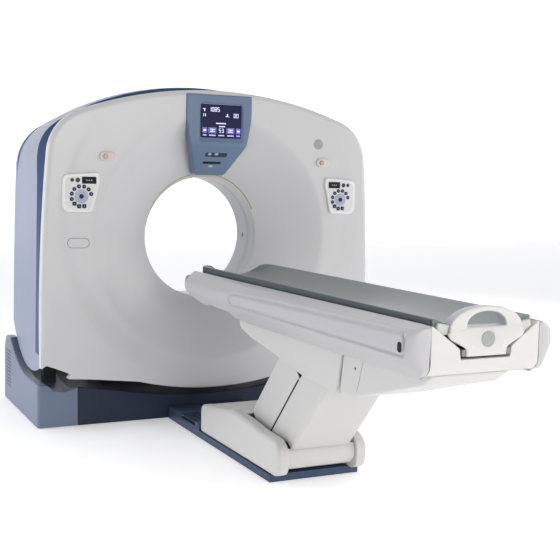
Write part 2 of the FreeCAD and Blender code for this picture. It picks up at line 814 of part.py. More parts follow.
def tube_unit():
    """X-ray tube in its housing, over the bore."""
    y1 = rotor_plate_y
    housing = box(-130.0, -95.0, iso_height + 468.0, 130.0, y1, iso_height + 628.0)
    housing = housing.makeChamfer(36.0, [e for e in housing.Edges if e.BoundBox.XLength > 200.0])
    cooler = rod("X", 46.0, -10.0, iso_height + 548.0, 130.0, 214.0)
    return fuse([housing, cooler])


def collimator():
    block = box(-88.0, -50.0, iso_height + 392.0, 88.0, rotor_plate_y, iso_height + 468.0)
    slit = box(-70.0, -6.0, iso_height + 380.0, 70.0, 6.0, iso_height + 480.0)
    return block.cut(slit)


def detector_arc():
    """Detector facing the tube across the bore, on an arc centred on the tube's focus."""
    focus = iso_height + 548.0
    arc = tube("Y", 1086.0, 1034.0, 0, focus, -55.0, rotor_plate_y)
    wedge = prism("XZ", [(0.0, focus), (-470.0, 300.0), (-470.0, 200.0), (470.0, 200.0), (470.0, 300.0)],
                  0.0, -100.0, 120.0)
    return arc.common(wedge).common(rod("Y", 640.0, 0, iso_height, -100.0, 200.0))


def rotor_box(angle, half, inner, outer):
    block = box(-half, -70.0, iso_height + inner, half, rotor_plate_y, iso_height + outer)
    return turned(block, angle)


def slip_ring():
    return tube("Y", 448.0, 434.0, 0, iso_height, rotor_plate_y + rotor_plate_thickness + 3.0,
                frame_plate_y)


# ---------------------------------------------------------------- gantry base

def ear_profile(inset):
    """Side view of the base's side covers; the hollow keeps clear of the tilting covers."""
    hollow = cradle_sweep_radius + inset
    top = tower_height - inset
    level = base_front_height - inset
    front = base_front_y + inset
    back = base_rear_y - inset
    lip_y = math.sqrt(hollow ** 2 - (iso_height - (top - 14.0)) ** 2)
    low_z = iso_height - math.sqrt(hollow ** 2 - 0.0)
    start = Vector(0.0, min(level, low_z), 0)
    mid_y = lip_y / 2.0
    mid = Vector(mid_y, iso_height - math.sqrt(hollow ** 2 - mid_y ** 2), 0)
    lip = Vector(lip_y, top - 14.0, 0)

    def at(y, z):
        return Vector(0.0, y, z)

    foot = inset if inset > 0.0 else 0.0
    base_z = -1.0 if foot > 0.0 else 0.0
    points = [at(front, base_z), at(front, start.y - 12.0), at(front + 12.0, start.y), at(start.x, start.y)]
    edges = [Part.makeLine(points[i], points[i + 1]) for i in range(3)]
    edges.append(Part.Arc(at(start.x, start.y), at(mid.x, mid.y), at(lip.x, lip.y)).toShape())
    tail = [at(lip.x, lip.y), at(lip.x + 22.0, top), at(back - 62.0, top), at(back - 30.0, top - 40.0),
            at(back, 250.0), at(back, base_z), at(front, base_z)]
    edges += [Part.makeLine(tail[i], tail[i + 1]) for i in range(len(tail) - 1)]
    return Part.Wire(edges)


def ear_solid(inset, low, high):
    shape = Part.Face(ear_profile(inset)).extrude(Vector(high - low, 0, 0))
    shape.translate(Vector(low, 0, 0))
    return shape


def low_zone(radius):
    """Everything further than a radius from the tilt axis."""
    return box(-1100.0, -700.0, -10.0, 1100.0, 900.0, 700.0).cut(
        rod("X", radius, 0, iso_height, -1200.0, 1200.0))


def base_side_cover():
    """Wrap-round cover on the right: the raised ear, a low shelf inboard of it, and louvres."""
    wall = base_cover_wall
    ear = ear_solid(0.0, ear_inner_x, base_half_width)
    hollow = ear_solid(wall, ear_inner_x + wall, base_half_width - wall)
    shelf = box(side_cover_inner_x + cover_gap, base_front_y, 0, ear_inner_x + 1.0, base_rear_y, 196.0)
    shelf_hollow = box(side_cover_inner_x - 10.0, base_front_y + wall, -1.0, ear_inner_x + wall + 2.0,
                       base_rear_y - wall, 196.0 - wall)
    shelf = shelf.common(low_zone(856.0))
    shelf_hollow = shelf_hollow.common(low_zone(856.0 + wall))
    cover = fuse([ear, shelf]).cut(hollow).cut(shelf_hollow)
    column = box(pedestal_x - pedestal_width / 2.0 - 6.0, 44.0, 100.0,
                 pedestal_x + pedestal_width / 2.0 + 6.0, 162.0, 260.0)
    cover = cover.cut(column)
    for row in range(11):
        for col in range(3):
            y = 466.0 + 44.0 * col
            z = 92.0 + 21.0 * row
            slot = prism("YZ", [(y, z), (y + 32.0, z + 9.0), (y + 32.0, z + 14.0), (y, z + 5.0)], 0.0,
                         base_half_width - wall - 1.0, base_half_width + 1.0)
            cover = cover.cut(slot)
    return max(cover.Solids, key=lambda solid: solid.Volume)


def base_front_cover():
    """Scooped front of the base between the side covers, under the gantry's lobe."""
    x = side_cover_inner_x
    stations = ((base_front_y, 190.0, 127.0), (0.0, 182.0, 90.0), (240.0, 182.0, 90.0))

    def section(y, edge, middle, inset):
        side = x + inset
        top = [Vector(-side, y, edge - inset), Vector(0, y, middle - inset), Vector(side, y, edge - inset)]
        foot = -1.0 if inset > 0.0 else 0.0
        return Part.Wire([
            Part.Arc(top[0], top[1], top[2]).toShape(),
            Part.makeLine(top[2], Vector(side, y, foot)),
            Part.makeLine(Vector(side, y, foot), Vector(-side, y, foot)),
            Part.makeLine(Vector(-side, y, foot), top[0]),
        ])

    outer = Part.makeLoft([section(y, edge, middle, 0.0) for y, edge, middle in stations], True, True)
    shifts = (base_cover_wall, 0.0, 2.0)
    inner = Part.makeLoft([section(s[0] + shift, s[1], s[2], base_cover_wall)
                           for s, shift in zip(stations, shifts)], True, True)
    return outer.cut(inner)


def base_rear_cover():
    x = side_cover_inner_x
    outer = prism("YZ", [(240.0 + cover_gap, 0), (base_rear_y, 0), (base_rear_y, 250.0),
                         (base_rear_y - 50.0, 290.0), (base_rear_y - 90.0, 200.0), (240.0 + cover_gap, 90.0)],
                  [0, 0, 30.0, 12.0, 30.0, 0], -x, x)
    wall = base_cover_wall
    inner = prism("YZ", [(239.0, -1.0), (base_rear_y - wall, -1.0), (base_rear_y - wall, 246.0),
                         (base_rear_y - 50.0, 281.0), (base_rear_y - 86.0, 194.0), (239.0, 90.0 - wall)],
                  [0, 0, 24.0, 8.0, 36.0, 0], -x - wall, x + wall)
    outer = outer.common(low_zone(945.0)).fuse(outer.common(box(-x, 200, 0, x, 700, 90.0)))
    return outer.removeSplitter().cut(inner)


def base_frame():
    """Welded floor frame and the two pedestals with the tilt bearings' seats."""
    low = 22.0
    high = low + frame_thickness
    x0 = pedestal_x - pedestal_width / 2.0
    x1 = pedestal_x + pedestal_width / 2.0
    parts = []
    for side in (-1, 1):
        a, b = sorted((side * x0, side * x1))
        parts.append(box(a, -235.0, low, b, 620.0, high))
        column = prism("YZ", [(-120.0, high - 1.0), (neck_back_y + 22.0, high - 1.0),
                              (neck_back_y + 22.0, high + 22.0), (neck_back_y, 176.0), (neck_back_y, 340.0),
                              (72.0, iso_height), (-72.0, iso_height), (neck_front_y - 30.0, 340.0),
                              (neck_front_y, 290.0), (neck_front_y, 176.0), (-120.0, high + 22.0)], 0.0, a, b)
        parts.append(column)
        parts.append(rod("X", 92.0, 0, iso_height, a, b))
        for y in (-anchor_y, anchor_y):
            parts.append(box(a, y - 28.0, 0.0, b, y + 28.0, low + 1.0))
    for y in (-235.0, 540.0):
        parts.append(box(-x0 - 1.0, y, low, x0 + 1.0, y + 70.0, 78.0))
    frame = fuse(parts)
    for side in (-1, 1):
        a, b = sorted((side * (x0 - 1.0), side * (x1 + 1.0)))
        frame = frame.cut(rod("X", trunnion_radius + bush_wall, 0, iso_height, a, b))
        for y in (-anchor_y, anchor_y):
            frame = frame.cut(rod("Z", anchor_hole_radius, side * pedestal_x, y, -1.0, high + 1.0))
    return frame


def tilt_bushes():
    bushes = []
    for side in (-1, 1):
        a, b = sorted((side * (pedestal_x - pedestal_width / 2.0), side * (pedestal_x + pedestal_width / 2.0)))
        bushes.append(tube("X", trunnion_radius + bush_wall, trunnion_radius + trunnion_clearance, 0,
                           iso_height, a, b))
    return bushes


def tilt_motor():
    """Gear motor on the right-hand pedestal, in line with the trunnion it turns."""
    x0 = pedestal_x + pedestal_width / 2.0
    body = rod("X", 88.0, 0, iso_height, x0, x0 + 64.0)
    body = body.cut(rod("X", trunnion_radius + 0.4, 0, iso_height, x0 - 1.0, x0 + 38.0))
    motor = rod("Z", 30.0, x0 + 33.0, 0.0, iso_height + 80.0, iso_height + 210.0)
    return fuse([body, motor])


def levelling_feet():
    feet = []
    for side in (-1, 1):
        for y in (-110.0, 480.0):
            pad = rod("Z", 34.0, side * pedestal_x, y, 0.0, 12.0)
            feet.append(pad.fuse(rod("Z", 12.0, side * pedestal_x, y, 12.0, 22.0)).removeSplitter())
    return feet


save("tilt_frame", tilt_frame())
save("rotor_ring", rotor_ring())
save("main_bearing", main_bearing())
save("tube_unit", tube_unit())
save("collimator", collimator())
save("detector_arc", detector_arc())
save("rotor_units", [rotor_box(72.0, 150.0, 400.0, 590.0), rotor_box(-72.0, 140.0, 400.0, 590.0)])
save("fixed_rings", [ring_motor(), slip_ring()])
side_base = base_side_cover()
save("base_side_covers", [side_base, mirrored(side_base)])
save("base_end_covers", [base_front_cover(), base_rear_cover()])
save("base_frame", base_frame())
save("tilt_bushes", tilt_bushes())
save("tilt_motor", tilt_motor())
save("levelling_feet", levelling_feet())


# ---------------------------------------------------------------- patient table: fixed part

def arm_frame(origin_y, origin_z):
    """Functions that give world Y, Z from a distance along an arm and one square to it."""
    c = math.cos(arm_angle)
    s = math.sin(arm_angle)

    def at(run, rise):
        return (origin_y - c * run + s * rise, origin_z + s * run + c * rise)

    return at


pivot_rear_y = pivot_front_y + pivot_step_y
pivot_rear_height = pivot_front_height + pivot_step_height
at_front = arm_frame(pivot_front_y, pivot_front_height)
at_rear = arm_frame(pivot_rear_y, pivot_rear_height)
head_front = at_front(arm_length, 0.0)
head_rear = at_rear(arm_length, 0.0)


def both_sides(maker):
    shape = maker()
    return [shape, mirrored(shape)]


def table_frame():
    """Floor plate and the upright ears that hold the arms' lower shafts."""
    plate = box(-plate_half_width, plate_end_y, 0, plate_half_width, base_front_y - cover_gap,
                plate_thickness_base)
    parts = [plate]
    for side in (-1, 1):
        x0, x1 = sorted((side * 188.0, side * 201.0))
        ear = prism("YZ", [(pivot_front_y - 36.0, 60.0), (plate_end_y + 4.0, 20.0), (pivot_rear_y + 120.0, 20.0),
                           (pivot_rear_y + 26.0, pivot_rear_height + 18.0),
                           (pivot_rear_y - 26.0, pivot_rear_height + 18.0),
                           (pivot_front_y, pivot_front_height + 34.0),
                           (pivot_front_y - 36.0, pivot_front_height + 20.0)],
                    [8.0, 0.0, 0.0, 20.0, 20.0, 10.0, 10.0], x0, x1)
        parts.append(ear)
    lug_x = 26.0
    for side in (-1, 1):
        x0, x1 = sorted((side * lug_x, side * (lug_x + 9.0)))
        y = actuator_base_y
        parts.append(prism("YZ", [(y - 34.0, 30.0), (y + 34.0, 30.0), (y + 16.0, 92.0), (y - 16.0, 92.0)],
                           [0.0, 0.0, 12.0, 12.0], x0, x1))
    frame = fuse(parts)
    for y, z in ((pivot_front_y, pivot_front_height), (pivot_rear_y, pivot_rear_height)):
        frame = frame.cut(rod("X", pin_radius, y, z, -220.0, 220.0))
    frame = frame.cut(rod("X", actuator_pin_radius, actuator_base_y, actuator_base_height, -60.0, 60.0))
    for side in (-1, 1):
        for y in (-420.0, -1010.0, -1450.0):
            frame = frame.cut(rod("Z", 7.0, side * 120.0, y, -1.0, plate_thickness_base + 1.0))
    return frame


def step_cover():
    """Tread between the gantry and the feet, with a sunk well for the pedals on each side."""
    outer = prism("YZ", [(step_front_y, plate_thickness_base), (step_rear_y, plate_thickness_base),
                         (step_rear_y, step_height - 3.0), (step_front_y, step_height)],
                  [0.0, 0.0, 8.0, 8.0], -plate_half_width, plate_half_width)
    well = box(132.0, -672.0, 48.0, 240.0, -452.0, 80.0)
    cover = outer.cut(well).cut(mirrored(well))
    for pin in pedal_pins():
        cover = cover.cut(pin)
    return cover


def pedal(index):
    """Rocking foot pedal; it pivots on a pin at its gantry end."""
    side = -1.0 if index < 2 else 1.0
    lane = 157.0 if index % 2 == 0 else 205.0
    x = side * lane
    body = prism("YZ", [(-664.0, 57.0), (-470.0, 57.0), (-470.0, 66.0), (-660.0, 71.0)], [2.0, 4.0, 3.0, 4.0],
                 x - 21.0, x + 21.0)
    barrel = rod("X", 5.5, -476.0, 62.0, x - 21.0, x + 21.0)
    body = fuse([body, barrel])
    return body.cut(rod("X", 3.05, -476.0, 62.0, x - 22.0, x + 22.0))


def pedal_pins():
    pins = []
    for side in (-1, 1):
        x0, x1 = sorted((side * 124.0, side * 233.0))
        pins.append(rod("X", 3.0, -476.0, 62.0, x0, x1))
    return pins


def foot_outline(inset):
    """Side view of a foot cover: a drum at the near pivot, a ridge, and a low gantry end."""
    y = foot_rear_y - inset
    bottom = plate_thickness_base + 0.3
    return [
        (y, bottom),
        (y, foot_rear_height - inset),
        (-812.0, 192.0 - inset),
        (-1144.0, 238.0 - inset),
        (-1300.0, 232.0 - inset),
        (-1480.0, 212.0 - inset),
        (pivot_front_y - 20.0, 205.0 - inset),
        (pivot_front_y - drum_radius + inset, pivot_front_height + 50.0),
        (pivot_front_y - drum_radius + inset, plate_thickness_base + 22.0 + inset),
        (pivot_front_y - 30.0, bottom),
    ]


def foot_cover():
    radii = [0.0, 14.0, 60.0, 220.0, 220.0, 120.0, 60.0, 60.0, 50.0, 10.0]
    outer = prism("YZ", foot_outline(0.0), radii, foot_inner_x, foot_outer_x)
    picked = []
    for edge in outer.Edges:
        bounds = edge.BoundBox
        if bounds.XMin > foot_outer_x - 0.1 and bounds.ZMin > 60.0:
            picked.append(edge)
    outer = outer.makeChamfer(7.0, picked)
    inner = prism("YZ", foot_outline(base_cover_wall), radii, foot_inner_x + base_cover_wall,
                  foot_outer_x - base_cover_wall - 4.0)
    well = inner.fuse(box(foot_inner_x + base_cover_wall, -1600.0, 20.0, foot_outer_x - 10.0, foot_rear_y - 6.0,
                          60.0))
    cover = outer.cut(well)
    for y, z in ((pivot_front_y, pivot_front_height), (pivot_rear_y, pivot_rear_height)):
        cover = cover.cut(rod("X", pin_radius + 2.0, y, z, foot_inner_x - 1.0, foot_inner_x + 7.0))
    return max(cover.Solids, key=lambda solid: solid.Volume)


def bridge_cover():
    """Low cover across the gap between the feet, next to the step."""
    outer = prism("YZ", [(foot_rear_y, plate_thickness_base), (foot_rear_y, foot_rear_height),
                         (-812.0, 192.0), (-850.0, 120.0), (-866.0, plate_thickness_base)],
                  [0.0, 14.0, 16.0, 20.0, 0.0], -foot_inner_x + cover_gap, foot_inner_x - cover_gap)
    inner = prism("YZ", [(foot_rear_y - 5.0, 30.0), (foot_rear_y - 5.0, 179.0), (-808.0, 186.0),
                         (-843.0, 118.0), (-858.0, 30.0)], [0.0, 8.0, 10.0, 20.0, 0.0],
                  -foot_inner_x + 6.0, foot_inner_x - 6.0)
    return outer.cut(inner)


def cross_pins(places, half_length):
    return [rod("X", pin_radius, y, z, -half_length, half_length) for y, z in places]


# ---------------------------------------------------------------- patient table: lifting arms

def arm_beams(at, low, high, end_clearance):
    """Two side beams joined by cross tubes, with a bored hub at each end."""
    parts = []
    corners = [at(0.0, low), at(arm_length, low), at(arm_length, high), at(0.0, high)]
    for side in (-1, 1):
        x0, x1 = sorted((side * beam_inner_x, side * beam_outer_x))
        parts.append(prism("YZ", corners, 0.0, x0, x1))
        for run in (0.0, arm_length):
            y, z = at(run, 0.0)
            parts.append(rod("X", hub_radius if run == 0.0 else hub_radius - 6.0, y, z, x0, x1))
    for run in (210.0, 470.0):
        y, z = at(run, (low + high) / 2.0)
        parts.append(rod("X", 17.0, y, z, -beam_inner_x - 1.0, beam_inner_x + 1.0))
    arm = fuse(parts)
    y, z = at(0.0, 0.0)
    arm = arm.cut(rod("X", pin_radius + pin_clearance, y, z, -beam_outer_x - 90.0, beam_outer_x + 90.0))
    y, z = at(arm_length, 0.0)
    return arm.cut(rod("X", pin_radius + end_clearance, y, z, -beam_outer_x - 90.0, beam_outer_x + 90.0))


def front_arm():
    arm = arm_beams(at_front, -8.0, 34.0, pin_clearance)
    return arm


def rear_arm():
    """As the front arm, with the two horns that the lift actuator pushes on."""
    arm = arm_beams(at_rear, -30.0, 30.0, 0.08)
    horns = []
    rise = actuator_crank * math.sin(actuator_crank_angle)
    run = actuator_crank * math.cos(actuator_crank_angle)
    for side in (-1, 1):
        x0, x1 = sorted((side * (beam_inner_x - 14.0), side * (beam_inner_x + 4.0)))
        horn = prism("YZ", [at_rear(run - 60.0 if run > 62.0 else 44.0, 20.0), at_rear(120.0, 20.0),
                            at_rear(run + 22.0, rise + 14.0), at_rear(run - 20.0, rise + 14.0),
                            at_rear(run - 22.0, rise - 16.0)], [0.0, 0.0, 12.0, 12.0, 6.0], x0, x1)
        horns.append(horn)
    arm = fuse([arm] + horns)
    y, z = at_rear(run, rise)
    pin = rod("X", actuator_pin_radius, y, z, -beam_inner_x, beam_inner_x)
    return fuse([arm, pin])


def u_cover(at, half_x, web_low, web_high, reach, run_low, run_high, web_from, web_to):
    """Sheet cover of U section: side plates and a web, with rounded ends."""
    wall = arm_cover_wall
    low, high = reach
    outline = [at(run_low, low), at(run_high, low), at(run_high, high), at(run_low, high)]
    radii = [26.0, 26.0, 60.0, 60.0]
    parts = []
    for side in (-1, 1):
        x0, x1 = sorted((side * (half_x - wall), side * half_x))
        parts.append(prism("YZ", outline, radii, x0, x1))
    web = [at(web_from, web_low), at(web_to, web_low), at(web_to, web_high), at(web_from, web_high)]
    parts.append(prism("YZ", web, 0.0, -half_x + wall / 2.0, half_x - wall / 2.0))
    return fuse(parts)


def front_arm_cover():
    cover = u_cover(at_front, front_cover_half_width, front_near, front_near + 8.0,
                    (front_near, front_far), 66.0, 566.0, 92.0, 540.0)
    tie = [at_front(240.0, front_near + 7.0), at_front(320.0, front_near + 7.0), at_front(320.0, -8.0),
           at_front(240.0, -8.0)]
    return fuse([cover, prism("YZ", tie, 0.0, -beam_outer_x, beam_outer_x)])


def rear_arm_cover():
    cover = u_cover(at_rear, rear_cover_half_width, rear_far - 8.0, rear_far, (rear_near, rear_far), 40.0,
                    480.0, 96.0, 424.0)
    tie = [at_rear(240.0, 30.0), at_rear(300.0, 30.0), at_rear(300.0, rear_far - 7.0),
           at_rear(240.0, rear_far - 7.0)]
    return fuse([cover, prism("YZ", tie, 0.0, -beam_outer_x, -beam_inner_x),
                 prism("YZ", tie, 0.0, beam_inner_x, beam_outer_x)])


def cross_cover():
    """Half-round cover over the front arm's lower hubs."""
    y, z = pivot_front_y, pivot_front_height
    w = cross_cover_half_width
    shell = tube("X", cross_cover_radius, cross_cover_radius - 6.0, y, z, -w, w)
    a, b = at_front(-80.0, -8.3), at_front(80.0, -8.3)
    c, d = at_front(80.0, -80.0), at_front(-80.0, -80.0)
    shell = shell.common(prism("YZ", [a, b, c, d], 0.0, -w - 1.0, w + 1.0))
    rib = [at_front(-6.0, -36.0), at_front(6.0, -36.0), at_front(6.0, -52.0), at_front(-6.0, -52.0)]
    rib = prism("YZ", rib, 0.0, -beam_outer_x, beam_outer_x).cut(rod("X", hub_radius, y, z, -w, w))
    return fuse([shell, rib])


# ---------------------------------------------------------------- lift actuator

def crank_point():
    run = actuator_crank * math.cos(actuator_crank_angle)
    rise = actuator_crank * math.sin(actuator_crank_angle)
    return at_rear(run, rise)


def actuator_axis():
    y, z = crank_point()
    reach = math.hypot(y - actuator_base_y, z - actuator_base_height)
    return (y - actuator_base_y) / reach, (z - actuator_base_height) / reach, reach


def along_actuator(low, high, radius):
    cy, cz, reach = actuator_axis()
    start = Vector(0, actuator_base_y + cy * low, actuator_base_height + cz * low)
    return Part.makeCylinder(radius, high - low, start, Vector(0, cy, cz))


def actuator_body():
    """Cylinder of the lift actuator with its lower eye."""
    cy, cz, reach = actuator_axis()
    barrel = along_actuator(12.0, 148.0, 21.0)
    eye = rod("X", 17.0, actuator_base_y, actuator_base_height, -18.0, 18.0)
    body = fuse([barrel, eye])
    body = body.cut(along_actuator(30.0, 149.0, 11.0 + pin_clearance))
    return body.cut(rod("X", actuator_pin_radius + pin_clearance, actuator_base_y, actuator_base_height,
                        -30.0, 30.0))


def actuator_rod():
    """Rod with its wide upper eye; the eye has room round the pin."""
    cy, cz, reach = actuator_axis()
    y, z = crank_point()
    stem = along_actuator(52.0, reach - 18.0, 11.0)
    eye = rod("X", actuator_pin_radius + actuator_eye_clearance + 6.0, y, z, -16.0, 16.0)
    whole = fuse([stem, eye])
    return whole.cut(rod("X", actuator_pin_radius + actuator_eye_clearance, y, z, -20.0, 20.0))


def actuator_pin():
    return rod("X", actuator_pin_radius, actuator_base_y, actuator_base_height, -36.0, 36.0)


save("table_frame", table_frame())
save("step_cover", fuse([step_cover(), bridge_cover()]))
for index in range(4):
    save("pedal_%d" % (index + 1), pedal(index))
foot_right = foot_cover()
save("foot_covers", [foot_right, mirrored(foot_right)])
save("lower_shafts", cross_pins([(pivot_front_y, pivot_front_height), (pivot_rear_y, pivot_rear_height)], 201.0)
     + [actuator_pin()] + pedal_pins())
save("front_arm", front_arm())
save("rear_arm", rear_arm())
save("front_arm_cover", front_arm_cover())
save("rear_arm_cover", rear_arm_cover())
save("cross_cover", cross_cover())
save("actuator_body", actuator_body())
save("actuator_rod", actuator_rod())


# ---------------------------------------------------------------- patient table: top

def under_line(inset):
    """Side view of the underside of the table top, drawn up to a nose at the gantry end."""
    return [(top_far_y - inset, 870.0 + inset), (-857.0, 744.0 + inset), (-950.0, 733.0 + inset),
            (-1206.0, 712.0 + inset), (-1310.0, rail_bottom + inset), (-2900.0, rail_bottom + inset)]


def over_underside(inset, low, high):
    """Everything above the underside's line."""
    points = under_line(inset) + [(-2900.0, 1000.0), (top_far_y - inset, 1000.0)]
    return prism("YZ", points, [20.0, 120.0, 200.0, 200.0, 0.0, 0.0, 0.0, 0.0], low, high)


def rail_section(inset):
    """Section of the right-hand side rail: level ledge, round bulge, flank drawn in to the bottom."""
    i = inset
    return [
        (rail_inner_x + i, rail_bottom + i),
        (rail_inner_x + 10.0, rail_bottom + i),
        (rail_outer_x - 30.0 - i, rail_bottom + 52.0),
        (rail_outer_x - i, 806.0),
        (rail_outer_x - 4.0 - i, 852.0 - i),
        (rail_inner_x + 30.0, rail_top - i),
        (rail_inner_x + i, rail_top - i),
    ]


def rail_prism(inset, low, high):
    return prism("XZ", rail_section(inset), [0.0, 8.0, 90.0, 40.0, 30.0, 12.0, 0.0], low, high)


def side_rail():
    """Hollow side moulding with a long grip groove and an oval port near the patient's end."""
    low = -2804.0
    high = -800.0 - cover_gap
    outer = rail_prism(0.0, low, high).common(over_underside(0.0, 0.0, 400.0))
    inner = rail_prism(5.0, low - 1.0, high + 1.0).common(over_underside(5.0, 0.0, 400.0))
    rail = outer.cut(inner)
    return max(rail.Solids, key=lambda solid: solid.Volume)


def nose_cap():
    """Closed end of the side rails and belly towards the gantry, open above for the cradle."""
    low = -800.0
    high = top_far_y
    side = rail_prism(0.0, low, high)
    belly = box(-rail_inner_x - 20.0, low, 700.0, rail_inner_x + 20.0, high, rail_top)
    outer = fuse([side, mirrored(side), belly]).common(over_underside(0.0, -400.0, 400.0))
    nose_cut = prism("XY", [(-400.0, low - 1.0), (400.0, low - 1.0), (400.0, high - 90.0),
                            (rail_inner_x + 34.0, high), (-rail_inner_x - 34.0, high), (-400.0, high - 90.0)],
                     [0.0, 0.0, 60.0, 30.0, 30.0, 60.0], 600.0, 1000.0)
    outer = outer.common(nose_cut)
    inner_side = rail_prism(5.0, low - 1.0, high - 24.0)
    inner_belly = box(-rail_inner_x - 24.0, low - 1.0, 690.0, rail_inner_x + 24.0, high - 110.0, 774.0)
    inner = fuse([inner_side, mirrored(inner_side), inner_belly]).common(over_underside(5.0, -400.0, 400.0))
    shrink = prism("XY", [(-395.0, low - 2.0), (395.0, low - 2.0), (395.0, high - 95.0),
                          (rail_inner_x + 30.0, high - 8.0), (-rail_inner_x - 30.0, high - 8.0),
                          (-395.0, high - 95.0)], [0.0, 0.0, 56.0, 28.0, 28.0, 56.0], 600.0, 1000.0)
    inner = inner.common(shrink)
    channel = box(-rail_inner_x, low - 2.0, 784.0, rail_inner_x, high + 2.0, 1000.0)
    cap = outer.cut(inner).cut(channel)
    return max(cap.Solids, key=lambda solid: solid.Volume)


def belly_cover():
    """Flat underside between the nose and the hopper."""
    low = -1202.0
    high = -798.0
    span = box(-rail_inner_x + cover_gap, low, 600.0, rail_inner_x - cover_gap, high, 900.0)
    skin = over_underside(0.0, -300.0, 300.0).cut(over_underside(5.0, -301.0, 301.0))
    cover = skin.common(span)
    return max(cover.Solids, key=lambda solid: solid.Volume)


def upper_frame():
    """Channel floor, side beams, guide rails and the hanging brackets that hold the arms' heads."""
    low = -2800.0
    high = -872.0
    split = -1330.0
    x_out = rail_inner_x - 0.3
    floor = channel_floor
    parts = [box(-x_out, low, floor, x_out, high, floor + 7.0)]
    for side in (-1, 1):
        a, b = sorted((side * 176.0, side * x_out))
        parts.append(box(a, low, beam_bottom, b, split, floor + 1.0))
        parts.append(box(a, split - 1.0, 750.0, b, high, floor + 1.0))
        a, b = sorted((side * 188.0, side * 202.0))
        parts.append(box(a, low, floor + 6.0, b, high, 796.0))
        a, b = sorted((side * 178.0, side * 206.0))
        parts.append(box(a, low, 790.0, b, high, 798.0))
    parts.append(box(-177.0, low, beam_bottom + 6.0, 177.0, -2230.0, floor + 1.0))
    for x0, x1, place in ((159.5, 167.5, head_front), (98.0, 112.0, head_rear)):
        y, z = place
        for side in (-1, 1):
            a, b = sorted((side * x0, side * x1))
            parts.append(prism("YZ", [(y - 90.0, floor + 1.0), (y - 24.0, z - 24.0), (y + 24.0, z - 24.0),
                                      (y + 90.0, floor + 1.0)], [0.0, 18.0, 18.0, 0.0], a, b))
    frame = fuse(parts)
    for y, z in (head_front, head_rear):
        frame = frame.cut(rod("X", pin_radius, y, z, -200.0, 200.0))
    return frame


def hopper_points(inset):
    i = inset
    return [
        (-1205.0 - i, beam_bottom - 0.6),
        (-1205.0 - i, 668.0 + i),
        (-1390.0, 620.0 + i),
        (-1540.0, 566.0 + i),
        (-1800.0, 520.0 + i),
        (-2180.0 + i, 508.0 + i),
        (-2236.0 + i, beam_bottom - 0.6),
    ]


def hopper_cover():
    """Side cheeks and the near wall below the table top, round the heads of the arms."""
    radii = [0.0, 8.0, 120.0, 160.0, 300.0, 46.0, 0.0]
    outer = prism("YZ", hopper_points(0.0), radii, -hopper_inner_x - hopper_wall, hopper_inner_x + hopper_wall)
    inner = prism("YZ", [(-1100.0, 400.0), (-1100.0, 800.0), (-2226.0, 800.0), (-2174.0, 516.0), (-2160.0, 400.0)],
                  [0.0, 0.0, 0.0, 40.0, 0.0], -hopper_inner_x, hopper_inner_x)
    return outer.cut(inner)


def tail_fairing():
    """Fairing behind the hopper, rising to the patient's end."""
    outer = prism("YZ", [(-2238.0, beam_bottom - 0.6), (-2190.0, 512.0), (-2240.0, 520.0), (-2480.0, 590.0),
                         (-2790.0, 690.0), (-2800.0, beam_bottom - 0.6)],
                  [0.0, 10.0, 30.0, 200.0, 30.0, 0.0], -hopper_inner_x - 12.0, hopper_inner_x + 12.0)
    inner = prism("YZ", [(-2244.0, 760.0), (-2206.0, 526.0), (-2240.0, 527.0), (-2480.0, 597.0),
                         (-2784.0, 696.0), (-2792.0, 760.0)],
                  [0.0, 6.0, 24.0, 190.0, 20.0, 0.0], -hopper_inner_x - 6.0, hopper_inner_x + 6.0)
    return outer.cut(inner)


def near_end_cover():
    """Face of the table's near end, with a funnel-shaped notch for the cradle and its handle."""
    right = [
        (225.0, 714.0),
        (rail_outer_x - 26.0, rail_bottom + 52.0),
        (rail_outer_x, 808.0),
        (rail_outer_x - 4.0, 854.0),
        (rail_inner_x + 30.0, rail_top + 6.0),
        (230.0, rail_top + 6.0),
        (110.0, 812.0),
        (110.0, 777.0),
    ]
    left = [(-x, z) for x, z in reversed(right)]
    radii = [16.0, 90.0, 40.0, 30.0, 12.0, 5.0, 14.0, 8.0]
    outer = prism("XZ", right + left, radii + list(reversed(radii)), top_near_y, -2804.0 - cover_gap)
    picked = [e for e in outer.Edges if e.BoundBox.YMax < top_near_y + 0.1]
    outer = outer.makeChamfer(4.0, picked)
    well = [(-215.0, 722.0), (215.0, 722.0), (285.0, 762.0), (310.0, 812.0), (304.0, 846.0), (262.0, 878.0),
            (236.0, 878.0), (118.0, 802.0), (118.0, 769.0), (-118.0, 769.0), (-118.0, 802.0), (-236.0, 878.0),
            (-262.0, 878.0), (-304.0, 846.0), (-310.0, 812.0), (-285.0, 762.0)]
    return outer.cut(prism("XZ", well, 5.0, top_near_y + 6.0, -2700.0))


def rail_ports():
    """Oval ports in the rails near the patient's end."""
    x = rail_outer_x - 16.0
    return [prism("YZ", [(-2716.0, 782.0), (-2690.0, 782.0), (-2690.0, 812.0), (-2716.0, 812.0)], 12.0, x, x + 12.0)]


def far_roller():
    """Roller that carries the cradle at the gantry end."""
    y = -716.0
    z = cradle_underside - roller_radius - roller_gap
    return rod("X", roller_radius, y, z, -120.0, 120.0).cut(rod("X", 6.05, y, z, -121.0, 121.0))


def roller_stand():
    y = -716.0
    z = cradle_underside - roller_radius - roller_gap
    parts = [rod("X", 6.0, y, z, -132.0, 132.0)]
    for side in (-1, 1):
        a, b = sorted((side * 124.0, side * 132.0))
        parts.append(box(a, y - 18.0, 783.9, b, y + 18.0, z + 12.0))
    return fuse(parts)


# ---------------------------------------------------------------- cradle

